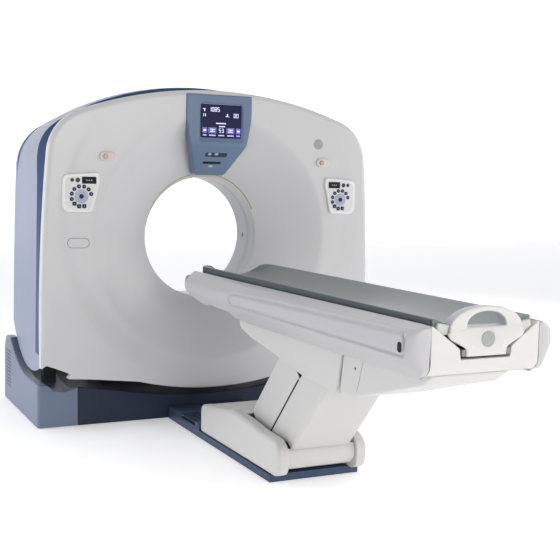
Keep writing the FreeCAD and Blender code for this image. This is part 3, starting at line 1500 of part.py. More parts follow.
def cradle():
    """Long shallow trough of constant section, with a rounded far end."""
    w = cradle_half_width
    low = cradle_near_y
    top = cradle_top
    under = [(-w, 884.0), (-172.0, 858.0), (-112.0, cradle_underside), (112.0, cradle_underside), (172.0, 858.0),
             (w, 884.0)]
    points = [Vector(x, low, z) for x, z in under] + [Vector(w, low, top)]
    edges = [Part.makeLine(points[i], points[i + 1]) for i in range(len(points) - 1)]
    rim = 9.0
    inner_right = Vector(w - rim, low, top)
    inner_left = Vector(-w + rim, low, top)
    edges.append(Part.makeLine(points[-1], inner_right))
    edges.append(Part.Arc(inner_right, Vector(0, low, top - cradle_dip), inner_left).toShape())
    edges.append(Part.makeLine(inner_left, Vector(-w, low, top)))
    edges.append(Part.makeLine(Vector(-w, low, top), points[0]))
    body = Part.Face(Part.Wire(edges)).extrude(Vector(0, cradle_far_y - low, 0))
    plan = prism("XY", [(-w - 1.0, low - 1.0), (w + 1.0, low - 1.0), (w + 1.0, cradle_far_y),
                        (-w - 1.0, cradle_far_y)], [0.0, 0.0, 60.0, 60.0], 800.0, 1000.0)
    return body.common(plan)


def cradle_strips():
    """Dark bumper strips down both edges of the cradle."""
    strip = box(cradle_half_width, cradle_near_y + 10.0, cradle_top - strip_height, cradle_half_width
                + strip_thickness, cradle_far_y - 62.0, cradle_top - 1.0)
    return [strip, mirrored(strip)]


def carriage():
    """Slide under the cradle's near end, guided between the rails of the channel."""
    body = box(-172.0, -2800.0, 776.0, 172.0, -2620.0, 788.0)
    parts = [body]
    for side in (-1, 1):
        for y in (-2770.0, -2670.0):
            a, b = sorted((side * 60.0, side * 100.0))
            parts.append(box(a, y, 787.0, b, y + 30.0, cradle_underside))
    return fuse(parts)


def cradle_handle():
    """Upright loop handle on a narrow plate at the cradle's near end."""
    y0 = handle_y
    y1 = handle_y + handle_thickness
    arch = prism("XZ", [(-166.0, 872.0), (166.0, 872.0), (150.0, handle_top), (-150.0, handle_top)],
                 [14.0, 14.0, 46.0, 46.0], y0, y1)
    hole = prism("XZ", [(-76.0, 900.0), (76.0, 900.0), (70.0, 944.0), (-70.0, 944.0)], [10.0, 10.0, 18.0, 18.0],
                 y0 - 1.0, y1 + 1.0)
    plate = prism("XZ", [(-104.0, 786.0), (104.0, 786.0), (104.0, 880.0), (-104.0, 880.0)], 6.0, y0 + 4.0, y1)
    handle = fuse([arch.cut(hole), plate])
    picked = [e for e in handle.Edges if e.BoundBox.YMax < y0 + 0.1]
    return handle.makeChamfer(3.0, picked)


def handle_disc():
    return rod("Y", 22.0, 0, 872.0, handle_y - 1.5, handle_y)


def handle_screws():
    return [rod("Y", 6.0, side * 78.0, 826.0, handle_y + 1.5, handle_y + 4.0) for side in (-1, 1)]


def end_blocks():
    """Pale blocks that join the handle to the cradle's end."""
    block = prism("XZ", [(96.0, 864.0), (178.0, 866.0), (206.0, 884.0), (200.0, 908.0), (150.0, 898.0),
                         (100.0, 886.0)], 4.0, handle_y + handle_thickness, cradle_near_y)
    return [block, mirrored(block)]


rail_right = side_rail()
save("side_rails", [rail_right, mirrored(rail_right)])
save("nose_cap", fuse([nose_cap(), belly_cover()]))
save("upper_frame", fuse([upper_frame(), roller_stand()]))
save("upper_shafts", [cross_pins([head_front], 167.5)[0], cross_pins([head_rear], 112.0)[0]])
save("hopper_cover", hopper_cover())
save("tail_fairing", tail_fairing())
save("near_end_cover", near_end_cover())
save("far_roller", far_roller())
save("cradle", cradle())
save("cradle_strips", cradle_strips())
save("carriage", carriage())
save("cradle_handle", cradle_handle())
save("handle_fittings", [handle_disc()] + handle_screws())
save("end_blocks", end_blocks())
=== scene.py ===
import json
import math
import bpy
import bmesh
import numpy as np
from mathutils import Matrix, Vector


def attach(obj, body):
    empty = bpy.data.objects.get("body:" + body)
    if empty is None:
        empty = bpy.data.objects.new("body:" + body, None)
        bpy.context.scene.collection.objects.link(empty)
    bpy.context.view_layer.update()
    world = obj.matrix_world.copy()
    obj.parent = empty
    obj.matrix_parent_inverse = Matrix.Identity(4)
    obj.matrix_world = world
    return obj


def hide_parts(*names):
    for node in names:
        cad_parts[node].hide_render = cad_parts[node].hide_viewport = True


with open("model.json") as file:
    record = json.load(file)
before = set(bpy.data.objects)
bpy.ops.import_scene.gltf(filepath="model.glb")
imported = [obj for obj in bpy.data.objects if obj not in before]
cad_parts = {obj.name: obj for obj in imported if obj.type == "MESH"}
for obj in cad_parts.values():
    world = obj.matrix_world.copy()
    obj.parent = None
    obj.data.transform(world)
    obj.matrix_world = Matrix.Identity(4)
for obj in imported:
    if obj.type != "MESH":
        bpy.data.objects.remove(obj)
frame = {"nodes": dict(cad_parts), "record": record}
nodes = frame["nodes"]
bodyOf = {n: body for body, names in frame["record"]["behaviour"]["bodies"].items() for n in names}
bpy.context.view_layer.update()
print("frame loaded:", len(nodes), "nodes")


def ease(t):
    # 3t^2 - 2t^3 between 0 and 1, level at both ends
    t = np.clip(t, 0.0, 1.0)
    return t * t * (3 - 2 * t)


def softMax(a, b, reach):
    # reach times the log of the summed exponentials: the larger one, with the crease rounded
    return reach * np.logaddexp(a / reach, b / reach)


def softMin(a, b, reach):
    return -softMax(-a, -b, reach)


def unit(v):
    return v / np.linalg.norm(v, axis=-1, keepdims=True)


def polar(centre, radius, angle):
    return np.asarray(centre) + radius * np.stack([np.cos(angle), np.sin(angle)], -1)


def rounded(corners, radii, steps=8):
    # straight runs between corners; each corner is an arc of its own radius, tangent to both runs
    corners = np.asarray(corners, float)
    pieces = []
    for i, corner in enumerate(corners):
        back = unit(corners[i - 1] - corner)
        ahead = unit(corners[(i + 1) % len(corners)] - corner)
        half = math.acos(np.clip(back @ ahead, -1, 1)) / 2
        radius = radii[i] if isinstance(radii, (list, tuple)) else radii
        if radius <= 0 or half > math.pi / 2 - 1e-3:
            pieces.append(corner[None])
            continue
        centre = corner + unit(back + ahead) * radius / math.sin(half)
        start, end = [corner + way * radius / math.tan(half) - centre for way in (back, ahead)]
        first = math.atan2(start[1], start[0])
        sweep = (math.atan2(end[1], end[0]) - first + math.pi) % (2 * math.pi) - math.pi
        pieces.append(polar(centre, radius, first + sweep * np.linspace(0, 1, steps + 1)))
    return np.vstack(pieces)


def arcPoints(centre, radius, start, end, count):
    # points at equal angles between two directions from a centre
    first, last = [math.atan2(p[1] - centre[1], p[0] - centre[0]) for p in (start, end)]
    return polar(centre, radius, np.linspace(first, last, count))


def bothSides(corners):
    # the corners and their mirror images, in one run round
    return list(corners) + [(-x, z) for x, z in reversed(corners)]


def mirrored(half):
    # a line that ends on the middle plane, carried on by its mirror image
    return np.vstack([half, (half * [-1, 1])[::-1][1:]])


def edged(low, high, count, edge, lowEdge=True, highEdge=True, steps=5):
    # even steps with a few short ones inside the rolled edges
    fine = edge * (1 - np.cos(np.linspace(0, math.pi / 2, steps)))
    middle = np.linspace(low + (edge if lowEdge else 0), high - (edge if highEdge else 0), count)
    parts = ([low + fine[:-1]] if lowEdge else []) + [middle]
    parts += [(high - fine[:-1])[::-1]] if highEdge else []
    return np.concatenate(parts)


def rolled(gap, radius):
    # how far a round edge drops at a gap from its rim: r less the root of r squared less (r - gap) squared
    gap = np.clip(gap, 0, radius)
    return radius - np.sqrt(np.maximum(radius ** 2 - (radius - gap) ** 2, 0))


def walk(line, count, closed=True, weight=None):
    # the outline at even steps of its length, or of its length times a weight
    path = np.vstack([line, line[:1]]) if closed else line
    step = np.linalg.norm(np.diff(path, axis=0), axis=1)
    if weight is not None:
        step = step * weight((path[1:] + path[:-1]) / 2)
    run = np.concatenate([[0], np.cumsum(step)])
    at = np.linspace(0, run[-1], count, endpoint=not closed)
    return np.stack([np.interp(at, run, path[:, i]) for i in range(path.shape[1])], -1)


def inward(loop):
    # unit normals of an anticlockwise outline, turned a quarter left of its direction
    along = unit(np.roll(loop, -1, 0) - np.roll(loop, 1, 0))
    return np.stack([-along[:, 1], along[:, 0]], -1)


def averaged(values, reach):
    # Gaussian average round a closed row, its width in samples
    spread = np.fft.fftfreq(len(values))
    damp = np.exp(-2 * (math.pi * spread * reach) ** 2)
    damp = damp.reshape((-1,) + (1,) * (values.ndim - 1))
    return np.real(np.fft.ifft(np.fft.fft(values, axis=0) * damp, axis=0))


def smoothed(line, reach):
    # Gaussian average along an open line whose ends stay, reach in samples
    share = np.exp(-0.5 * (np.arange(-3 * reach, 3 * reach + 1) / reach) ** 2)
    before = 2 * line[0] - line[3 * reach:0:-1]
    after = 2 * line[-1] - line[-2:-3 * reach - 2:-1]
    whole = np.vstack([before, line, after])
    return np.stack([np.convolve(whole[:, i], share / share.sum(), "valid") for i in range(2)], -1)


def bendRadius(loop, window):
    # radius of curvature where the outline bulges outward, taken as the least over a window of samples
    first = (np.roll(loop, -1, 0) - np.roll(loop, 1, 0)) / 2
    second = np.roll(loop, -1, 0) - 2 * loop + np.roll(loop, 1, 0)
    cross = first[:, 0] * second[:, 1] - first[:, 1] * second[:, 0]
    radius = (first ** 2).sum(1) ** 1.5 / np.maximum(cross, 1e-9)
    return np.min([np.roll(radius, k) for k in range(-window, window + 1)], axis=0)


def anticlockwise(loop):
    nextOne = np.roll(loop, -1, 0)
    area = (loop[:, 0] * nextOne[:, 1] - nextOne[:, 0] * loop[:, 1]).sum()
    return loop if area > 0 else loop[::-1]


def place(plane, uv, w):
    # two coordinates in a plane and one along its normal
    w = np.broadcast_to(w, uv.shape[:-1])
    u, v = uv[..., 0], uv[..., 1]
    return np.stack({"XZ": (u, w, v), "YZ": (w, u, v), "XY": (u, v, w)}[plane], -1)


def gridFaces(rows, columns, closeRows=False, closeColumns=False):
    # four corners of each cell of a grid of points, wrapping round where it is closed
    r = np.arange(rows if closeRows else rows - 1)[:, None]
    c = np.arange(columns if closeColumns else columns - 1)[None, :]
    r2 = (r + 1) % rows
    c2 = (c + 1) % columns
    corners = [r * columns + c, r * columns + c2, r2 * columns + c2, r2 * columns + c]
    return np.stack([k.ravel() for k in corners], -1)


def makeObject(name, points, faces, closed=True, crease=35):
    mesh = bpy.data.meshes.new(name)
    mesh.from_pydata(np.asarray(points).reshape(-1, 3).tolist(), [], [list(f) for f in faces])
    work = bmesh.new()
    work.from_mesh(mesh)
    if closed:
        bmesh.ops.remove_doubles(work, verts=work.verts, dist=1e-6)
        bmesh.ops.recalc_face_normals(work, faces=work.faces)
    work.to_mesh(mesh)
    work.free()
    mesh.polygons.foreach_set("use_smooth", np.ones(len(mesh.polygons), bool))
    mesh.set_sharp_from_angle(angle=math.radians(crease))
    made = bpy.data.objects.new(name, mesh)
    bpy.context.scene.collection.objects.link(made)
    return made


def dress(made, look, node, *others, adds=False):
    # a piece takes its body from a node; it replaces the node and any others, or only adds to it
    made.data.materials.clear()
    made.data.materials.append(finishes[look])
    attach(made, bodyOf[node])
    if not adds:
        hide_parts(node, *others)


def fromRows(rows, looped=False):
    # rows of a closed outline joined in order, either round to the first or with a face over each end
    rows = np.asarray(rows)
    count, wide = rows.shape[:2]
    faces = list(gridFaces(count, wide, looped, True))
    if not looped:
        faces.append(list(range(wide))[::-1])
        faces.append([(count - 1) * wide + i for i in range(wide)])
    return rows.reshape(-1, 3), faces


def rolledRow(plane, loop, across, level, roll, a):
    # an outline at an angle round its rolled edge: drawn in by r - r sin a, off the level by r - r cos a
    return place(plane, loop + across * abs(roll) * (1 - math.sin(a)), level + roll * (1 - math.cos(a)))


def prismRows(plane, loop, low, high, lowRound=0.0, highRound=0.0, steps=5):
    # outline carried along its normal, with either end rolled over
    loop = anticlockwise(loop)
    normal = inward(loop)
    turn = np.linspace(0, math.pi / 2, steps + 1)
    rows = [rolledRow(plane, loop, normal, low, lowRound, a) for a in (turn if lowRound else turn[-1:])]
    back = turn[::-1] if highRound else turn[-1:]
    return rows + [rolledRow(plane, loop, normal, high, -highRound, a) for a in back]


def prism(name, plane, loop, low, high, lowRound=0.0, highRound=0.0, steps=5):
    return makeObject(name, *fromRows(prismRows(plane, loop, low, high, lowRound, highRound, steps)))


def stadium(x, z, halfLength, halfHeight, count=48):
    return walk(rounded(rectangle(x, z, halfLength, halfHeight), halfHeight * 0.999), count)


def merged(name, parts):
    # several closed pieces in one mesh
    points = []
    faces = []
    base = 0
    for partPoints, partFaces in parts:
        points.append(np.asarray(partPoints).reshape(-1, 3))
        faces += [[i + base for i in face] for face in partFaces]
        base += len(points[-1])
    return makeObject(name, np.vstack(points), faces)


def slab(plane, loop, low, high, lowRound=0.0, steps=4):
    return fromRows(prismRows(plane, loop, low, high, lowRound, 0.0, steps))


def rectangle(x, z, halfX, halfZ):
    # its four corners, anticlockwise from the lowest left
    return [(x - halfX, z - halfZ), (x + halfX, z - halfZ), (x + halfX, z + halfZ), (x - halfX, z + halfZ)]


def circle(x, z, radius, count=32):
    return polar((x, z), radius, np.arange(count) / count * 2 * math.pi)


def sheetNormals(points):
    # cross product of the two grid directions, each taken as a difference of neighbours
    return unit(np.cross(np.gradient(points, axis=0), np.gradient(points, axis=1)))


def shellOf(points, wall, side=1.0):
    # open grid given a thickness: itself, its copy moved along the normals, and a rim between them
    rows, columns = points.shape[:2]
    inner = points + sheetNormals(points) * wall * side
    ring = np.concatenate([points, inner[::-1]], 0)
    faces = list(gridFaces(2 * rows, columns, True, False))
    i = np.arange(rows - 1)
    other = 2 * rows - 1 - i
    for column in (0, columns - 1):
        faces += list(np.stack([i, i + 1, other - 1, other], -1) * columns + column)
    return ring.reshape(-1, 3), faces


def thickened(grid, wall, toward):
    # an open grid given its thickness on the side that a direction points to at its middle
    normal = sheetNormals(grid)[grid.shape[0] // 2, grid.shape[1] // 2]
    return shellOf(grid, wall, 1.0 if normal @ toward > 0 else -1.0)


def bevelled(made, width, segments, angle, harden=False):
    # a bevel along the edges that turn by more than an angle
    bevel = made.modifiers.new("easedEdges", "BEVEL")
    bevel.width = width
    bevel.segments = segments
    bevel.limit_method = "ANGLE"
    bevel.angle_limit = math.radians(angle)
    bevel.harden_normals = harden


def softCopy(name, node, look, width, segments=2, beyond=None):
    # copy of a fixed part, doubles merged, flat faces joined, edges eased by a bevel
    work = bmesh.new()
    work.from_mesh(nodes[node].data)
    bmesh.ops.remove_doubles(work, verts=work.verts, dist=1e-5)
    if beyond is not None:
        bmesh.ops.delete(work, geom=[v for v in work.verts if v.co.y < beyond], context="VERTS")
    bmesh.ops.dissolve_limit(work, angle_limit=math.radians(0.6), verts=work.verts, edges=work.edges)
    mesh = bpy.data.meshes.new(name)
    work.to_mesh(mesh)
    work.free()
    made = bpy.data.objects.new(name, mesh)
    bpy.context.scene.collection.objects.link(made)
    mesh.polygons.foreach_set("use_smooth", np.ones(len(mesh.polygons), bool))
    bevelled(made, width, segments, 30, harden=True)
    dress(made, look, node)


class Value:
    # wraps one output socket; arithmetic on it adds Math nodes to its finish
    def __init__(self, finish, socket):
        self.finish = finish
        self.socket = socket

    def math(self, operation, first, second=0.0):
        return self.finish.node("ShaderNodeMath", {"operation": operation}, {0: first, 1: second})

    def __add__(self, other):
        return self.math("ADD", self, other)

    def __radd__(self, other):
        return self.math("ADD", other, self)

    def __sub__(self, other):
        return self.math("SUBTRACT", self, other)

    def __rsub__(self, other):
        return self.math("SUBTRACT", other, self)

    def __mul__(self, other):
        return self.math("MULTIPLY", self, other)

    def __rmul__(self, other):
        return self.math("MULTIPLY", other, self)


class Finish:
    # a node material; node() takes a node's type, its settings and what its sockets are fed
    def __init__(self, name, **fixed):
        self.material = bpy.data.materials.new(name)
        self.material.use_nodes = True
        self.tree = self.material.node_tree
        self.shader = self.tree.nodes["Principled BSDF"]
        for socket, value in fixed.items():
            self.shader.inputs[socket.replace("_", " ")].default_value = value

    def feed(self, socket, given):
        if isinstance(given, Value):
            self.tree.links.new(given.socket, socket)
        else:
            socket.default_value = given

    def node(self, kind, settings=None, inputs=None, output=0):
        made = self.tree.nodes.new(kind)
        for key, value in (settings or {}).items():
            setattr(made, key, value)
        for key, value in (inputs or {}).items():
            self.feed(made.inputs[key], value)
        return Value(self, made.outputs[output])

    def place(self):
        return self.node("ShaderNodeTexCoord", output="Object")

    def noise(self, scale, detail=2.0, roughness=0.5):
        fed = {"Vector": self.place(), "Scale": scale, "Detail": detail, "Roughness": roughness}
        return self.node("ShaderNodeTexNoise", inputs=fed)

    def blend(self, share, first, second):
        # the mix node's share is its input 0, its two colours are inputs 6 and 7 and its colour output is 2
        return self.node("ShaderNodeMix", {"data_type": "RGBA"}, {0: share, 6: first, 7: second}, output=2)

    def shade(self, **fed):
        for socket, value in fed.items():
            self.feed(self.shader.inputs[socket.replace("_", " ")], value)

    def bump(self, height, strength, distance):
        fed = {"Height": height, "Strength": strength, "Distance": distance}
        self.shade(Normal=self.node("ShaderNodeBump", inputs=fed))


def tint(red, green, blue, share=1.0):
    return (red * share, green * share, blue * share, 1.0)


mouldings = {
    # colour, roughness, grain size in 1/m, grain height in m, cloudiness of the tone
    "coverWhite": ((0.585, 0.579, 0.591), 0.30, 900.0, 0.00006, 0.012),
    "tableWhite": ((0.62, 0.615, 0.605), 0.34, 1100.0, 0.00007, 0.014),
    # the rails' white is the table's white darkened: painted shade on their flanks
    "railWhiteShaded": ((0.49, 0.486, 0.505), 0.34, 1100.0, 0.00007, 0.014),
    "shellBlue": ((0.175, 0.215, 0.33), 0.30, 900.0, 0.00006, 0.03),
    "crownBlue": ((0.16, 0.195, 0.32), 0.32, 900.0, 0.00006, 0.03),
    "podWhite": ((0.74, 0.74, 0.74), 0.30, 900.0, 0.00006, 0.012),
    "consoleBlue": ((0.125, 0.180, 0.285), 0.36, 1400.0, 0.00008, 0.03),
    "baseBlue": ((0.138, 0.178, 0.262), 0.38, 1200.0, 0.0001, 0.04),
    # dark slate paint at about half its tone: painted shade under the gantry
    "baseSlateShaded": ((0.022, 0.034, 0.060), 0.42, 1200.0, 0.0001, 0.06),
    "tunnelWhite": ((0.52, 0.52, 0.53), 0.28, 1500.0, 0.00004, 0.01),
    "windowBeige": ((0.60, 0.575, 0.50), 0.45, 1500.0, 0.00005, 0.02),
    "panelGrey": ((0.66, 0.665, 0.655), 0.42, 2500.0, 0.00005, 0.02),
    "keyNavy": ((0.012, 0.014, 0.06), 0.35, 3000.0, 0.00005, 0.04),
    "keyMark": ((0.42, 0.44, 0.56), 0.4, 3000.0, 0.00003, 0.02),
    "ringBlue": ((0.36, 0.39, 0.50), 0.4, 3000.0, 0.00004, 0.03),
    "bezelRose": ((0.60, 0.545, 0.535), 0.34, 2500.0, 0.00005, 0.02),
    "bezelCream": ((0.62, 0.61, 0.58), 0.34, 2500.0, 0.00005, 0.02),
    "buttonRed": ((0.46, 0.31, 0.29), 0.3, 2500.0, 0.00004, 0.03),
    "capGrey": ((0.045, 0.05, 0.058), 0.35, 2500.0, 0.00005, 0.04),
    # dark joints and windows; where it fills vents, slots, ports and the gap under the rails it is painted
    # shade
    "darkGap": ((0.012, 0.014, 0.02), 0.6, 1500.0, 0.00005, 0.04),
    "cradleGrey": ((0.185, 0.213, 0.216), 0.30, 700.0, 0.00005, 0.03),
    "stripSlate": ((0.075, 0.10, 0.115), 0.42, 1600.0, 0.00008, 0.05),
    "blockGrey": ((0.55, 0.565, 0.54), 0.4, 1600.0, 0.00006, 0.03),
    "bowGrey": ((0.50, 0.50, 0.56), 0.34, 1100.0, 0.00007, 0.02),
    "blankDisc": ((0.33, 0.335, 0.34), 0.4, 2500.0, 0.00004, 0.02),
    "padGrey": ((0.23, 0.225, 0.21), 0.6, 1500.0, 0.0001, 0.05),
    # the console's blue darkened: painted shade in the grille's openings
    "grilleShadeBlue": ((0.030, 0.045, 0.080), 0.5, 2500.0, 0.0001, 0.05),
    "seamGrey": ((0.17, 0.165, 0.15), 0.5, 2500.0, 0.00005, 0.04),
    "rubber": ((0.040, 0.052, 0.080), 0.7, 1800.0, 0.00015, 0.06),
    "footBlue": ((0.055, 0.080, 0.145), 0.42, 1200.0, 0.0001, 0.06),
}
finishes = {}


def moulding(name):
    # tone = colour times 1 - 2 cloud to 1 + 2 cloud by a slow noise, roughness = rough - 0.04 + 0.08 slow
    # + 0.03 fine, height = the fine noise at the grain's scale
    colour, rough, grain, height, cloud = mouldings[name]
    made = Finish(name, IOR=1.47 if max(colour) > 0.2 else 1.28)
    slow = made.noise(2.3, 3.0)
    fine = made.noise(grain, 2.0, 0.55)
    tone = made.blend(slow, tint(*colour, 1 - 2 * cloud), tint(*colour, 1 + 2 * cloud))
    made.shade(Base_Color=tone, Roughness=rough - 0.04 + slow * 0.08 + fine * 0.03)
    made.bump(fine, 0.5, height)
    return made.material


def rollShadedFinish(name, above, below):
    # matt; tone = the lower blue times 0.97 to 1.03 by a slow noise, turning to the upper one by
    # 3t^2 - 2t^3 of the height between 0.55 and 1.70 m: painted shade, darker towards the top
    made = Finish(name, IOR=1.0, Roughness=0.5)
    height = made.node("ShaderNodeSeparateXYZ", inputs={"Vector": made.place()}, output="Z")
    share = made.node("ShaderNodeMapRange", {"interpolation_type": "SMOOTHSTEP"},
                      {"Value": height, "From Min": 0.55, "From Max": 1.70})
    low = made.blend(made.noise(2.3, 3.0), tint(*below, 0.97), tint(*below, 1.03))
    made.shade(Base_Color=made.blend(share, low, tint(*above)))
    return made.material


def metalFinish(name, colour, rough, stretch):
    # lines = a noise stretched along the part; tone = colour times 0.86 to 1.08 by the lines,
    # roughness = rough + 0.15 lines, height = the lines
    made = Finish(name, Metallic=1.0)
    squeezed = made.node("ShaderNodeMapping", inputs={"Vector": made.place(), "Scale": stretch})
    lines = made.node("ShaderNodeTexNoise", inputs={"Vector": squeezed, "Scale": 60.0, "Detail": 3.0})
    tone = made.blend(lines, tint(*colour, 0.86), tint(*colour, 1.08))
    made.shade(Base_Color=tone, Roughness=rough + lines * 0.15)
    made.bump(lines, 0.25, 0.0001)
    return made.material


def paintedFrame(name, colour, rough):
    # tone = colour times 0.88 to 1.1 by a slow dust noise, roughness = rough + 0.12 dust,
    # height = a fine orange-peel noise
    made = Finish(name, Coat_Weight=0.15)
    peel = made.noise(420.0, 1.0)
    dust = made.noise(9.0, 4.0, 0.6)
    tone = made.blend(dust, tint(*colour, 0.88), tint(*colour, 1.1))
    made.shade(Base_Color=tone, Roughness=rough + dust * 0.12)
    made.bump(peel, 0.35, 0.0002)
    return made.material


for name in mouldings:
    finishes[name] = moulding(name)
finishes["groundSteel"] = metalFinish("groundSteel", (0.56, 0.57, 0.58), 0.24, (30.0, 1.0, 1.0))
finishes["castAlloy"] = metalFinish("castAlloy", (0.62, 0.63, 0.64), 0.38, (3.0, 3.0, 3.0))
finishes["framePaint"] = paintedFrame("framePaint", (0.055, 0.062, 0.075), 0.5)
finishes["unitPaint"] = paintedFrame("unitPaint", (0.10, 0.11, 0.13), 0.45)
# the roll's blues: its own darker paint plus painted shade, darkest at the top
finishes["rollBlueShaded"] = rollShadedFinish("rollBlueShaded", (0.050, 0.078, 0.155), (0.115, 0.155, 0.260))
print("finishes:", len(finishes))

screenGlow = {
    # colour shown and how strongly it shines
    "screenNavy": ((0.007, 0.009, 0.042), 0.25),
    "screenViolet": ((0.13, 0.12, 0.42), 0.5),
    "screenLilac": ((0.42, 0.42, 0.72), 0.5),
    "screenWhite": ((0.62, 0.66, 0.82), 0.6),
}


def glowing(name, colour, strength):
    # colour shown and glowing = the given one times 0.9 to 1.1 by a fine noise
    made = Finish(name, Roughness=0.55, IOR=1.3, Emission_Strength=strength)
    grain = made.noise(1400.0, 0.0)
    shown = made.blend(grain, tint(*colour, 0.9), tint(*colour, 1.1))
    made.shade(Base_Color=shown, Emission_Color=shown)
    return made.material


for name, (colour, strength) in screenGlow.items():
    finishes[name] = glowing(name, colour, strength)

plainLooks = {
    # parts shown as they are constructed, most of them inside the covers
    "shellBlue": ("rear_cover",),
    "framePaint": ("base_frame", "tilt_frame", "front_arm", "rear_arm"),
    "unitPaint": ("tilt_motor", "fixed_rings", "tube_unit", "rotor_units", "actuator_body"),
    "castAlloy": ("rotor_ring", "detector_arc", "upper_frame", "carriage"),
    "groundSteel": ("tilt_bushes", "levelling_feet", "lower_shafts", "main_bearing", "collimator",
                    "actuator_rod", "upper_shafts", "far_roller"),
}
for look, names in plainLooks.items():
    for node in names:
        data = nodes[node].data
        if not data.materials:
            data.materials.append(None)
        for i in range(len(data.materials)):
            data.materials[i] = finishes[look]
        data.polygons.foreach_set("use_smooth", np.ones(len(data.polygons), bool))


gantry = {
    "isoHeight": 1.043,
    "halfWidth": 1.0038,
    "widestHeight": 0.6,
    "sideArc": 11.0,
    "cornerArc": 0.265,
    "topArc": 2.3,
    "height": 1.877,
    "foot": (1.0, 0.352),
    "lobeBottom": 0.19,
    "lobeHalf": 0.45,
    "lobeRise": 0.06,
    "notch": ((0.70, 0.2785), (0.858, 0.294), (0.838, 0.318), (0.972, 0.373)),
    "notchPlace": (0.91, 0.33),
    "notchReach": (0.09, 0.07),
    "notchCrowding": 2.5,
    "faceY": -0.385,
    "flangeY": -0.345,
    "wall": 0.006,
}
iso = gantry["isoHeight"]
faceY = gantry["faceY"]


def shoulderArcs():
    # the corner arc's centre is where the side and top arcs cross, both drawn in by the corner's radius
    g = gantry
    side = np.array([g["halfWidth"] - g["sideArc"], g["widestHeight"]])
    top = np.array([0.0, g["height"] - g["topArc"]])
    a = g["sideArc"] - g["cornerArc"]
    b = g["topArc"] - g["cornerArc"]
    gap = top - side
    length = np.linalg.norm(gap)
    reach = (length ** 2 + a ** 2 - b ** 2) / (2 * length)
    ahead = gap / length
    corner = side + ahead * reach + np.array([-ahead[1], ahead[0]]) * math.sqrt(a ** 2 - reach ** 2)
    return side, corner, top


def frontOutline(count):
    # side, corner and top arcs above; round lobe, shoulders and corner notches below, eased by an average
    g = gantry
    side, corner, top = shoulderArcs()
    sideEnd = side + unit(corner - side) * g["sideArc"]
    topEnd = top + unit(corner - top) * g["topArc"]
    lobeRadius = (g["lobeHalf"] ** 2 + g["lobeRise"] ** 2) / (2 * g["lobeRise"])
    lobeEnd = (g["lobeHalf"], g["lobeBottom"] + g["lobeRise"])
    half = np.vstack([
        arcPoints((0.0, g["lobeBottom"] + lobeRadius), lobeRadius, (0.0, g["lobeBottom"]), lobeEnd, 30),
        np.array(g["notch"]),
        arcPoints(side, g["sideArc"], g["foot"], sideEnd, 60),
        arcPoints(corner, g["cornerArc"], sideEnd, topEnd, 24),
        arcPoints(top, g["topArc"], topEnd, (0.0, g["height"]), 60),
    ])

    def denser(p):
        # 1 and a bell of the distance from the notch
        off = (np.abs(p) - g["notchPlace"]) / g["notchReach"]
        return 1 + g["notchCrowding"] * np.exp(-(off ** 2).sum(1))

    fine = averaged(walk(mirrored(half)[:-1], 6 * count), 2.6)
    return walk(anticlockwise(fine), count, weight=denser)


dish = {
    "rimRadius": 0.70,
    "bandRadius": 0.905,
    "bandCentre": 1.128,
    "bandDepth": 0.026,
    "flareRadius": 0.536,
    "flareY": -0.282,
    "throatRadius": (0.340, 0.352, 0.380, 0.440, 0.560, 0.760),
    "throatY": (-0.130, -0.144, -0.171, -0.220, -0.300, -0.425),
    "throatEnd": 0.60,
    "creaseReach": 0.0012,
    "rimReach": 0.006,
    "rampReach": 0.002,
    "flareReach": 0.004,
}


def dishSurface(x, z):
    # Y of the front: the deepest of the flat face, a shallow ramp that ends in a leaning plane, a leaning
    # cone, and a throat, a fourth-degree curve of the radius that runs on straight past its end
    d = dish
    r = np.hypot(x, z - iso)
    lean = d["bandDepth"] / (2 * d["rimRadius"])
    rimY = faceY + d["bandDepth"] / 2
    slope = (d["bandRadius"] - (d["bandCentre"] - iso + d["rimRadius"])) / d["bandDepth"]
    ramp = faceY + (d["bandRadius"] - np.hypot(x, z - d["bandCentre"])) / slope
    plane = rimY - (z - iso) * lean
    band = softMin(ramp, plane, d["rampReach"])
    cone = plane + (d["rimRadius"] - r) / (d["rimRadius"] - d["flareRadius"]) * (d["flareY"] - rimY)
    fit = np.polyfit(d["throatRadius"], d["throatY"], 4)
    last = d["throatEnd"]
    onward = np.polyval(np.polyder(fit), last) * np.maximum(r - last, 0)
    throat = np.polyval(fit, np.minimum(r, last)) + onward
    bowl = softMax(cone, throat, d["flareReach"])
    return softMax(softMax(faceY + 0 * x, band, d["creaseReach"]), bowl, d["rimReach"])


def onFace(points, lift=0.0):
    # points in front view laid on the dish surface, or off it by a lift
    return place("XZ", points, dishSurface(points[..., 0], points[..., 1]) + lift)


cover = {
    "columns": 640,
    "rows": 96,
    "rimAcross": 0.034,
    "rimDeep": 0.027,
    "lipAcross": 0.013,
    "lipTop": 0.36,
    "lipBlend": 0.10,
    "rimSteps": 9,
    "mouthRadius": 0.352,
    # in degrees: how far below the middle a lower corner lies, how far columns are drawn to it, and the reach
    "cornerPull": (38.0, 12.0, 26.0),
}


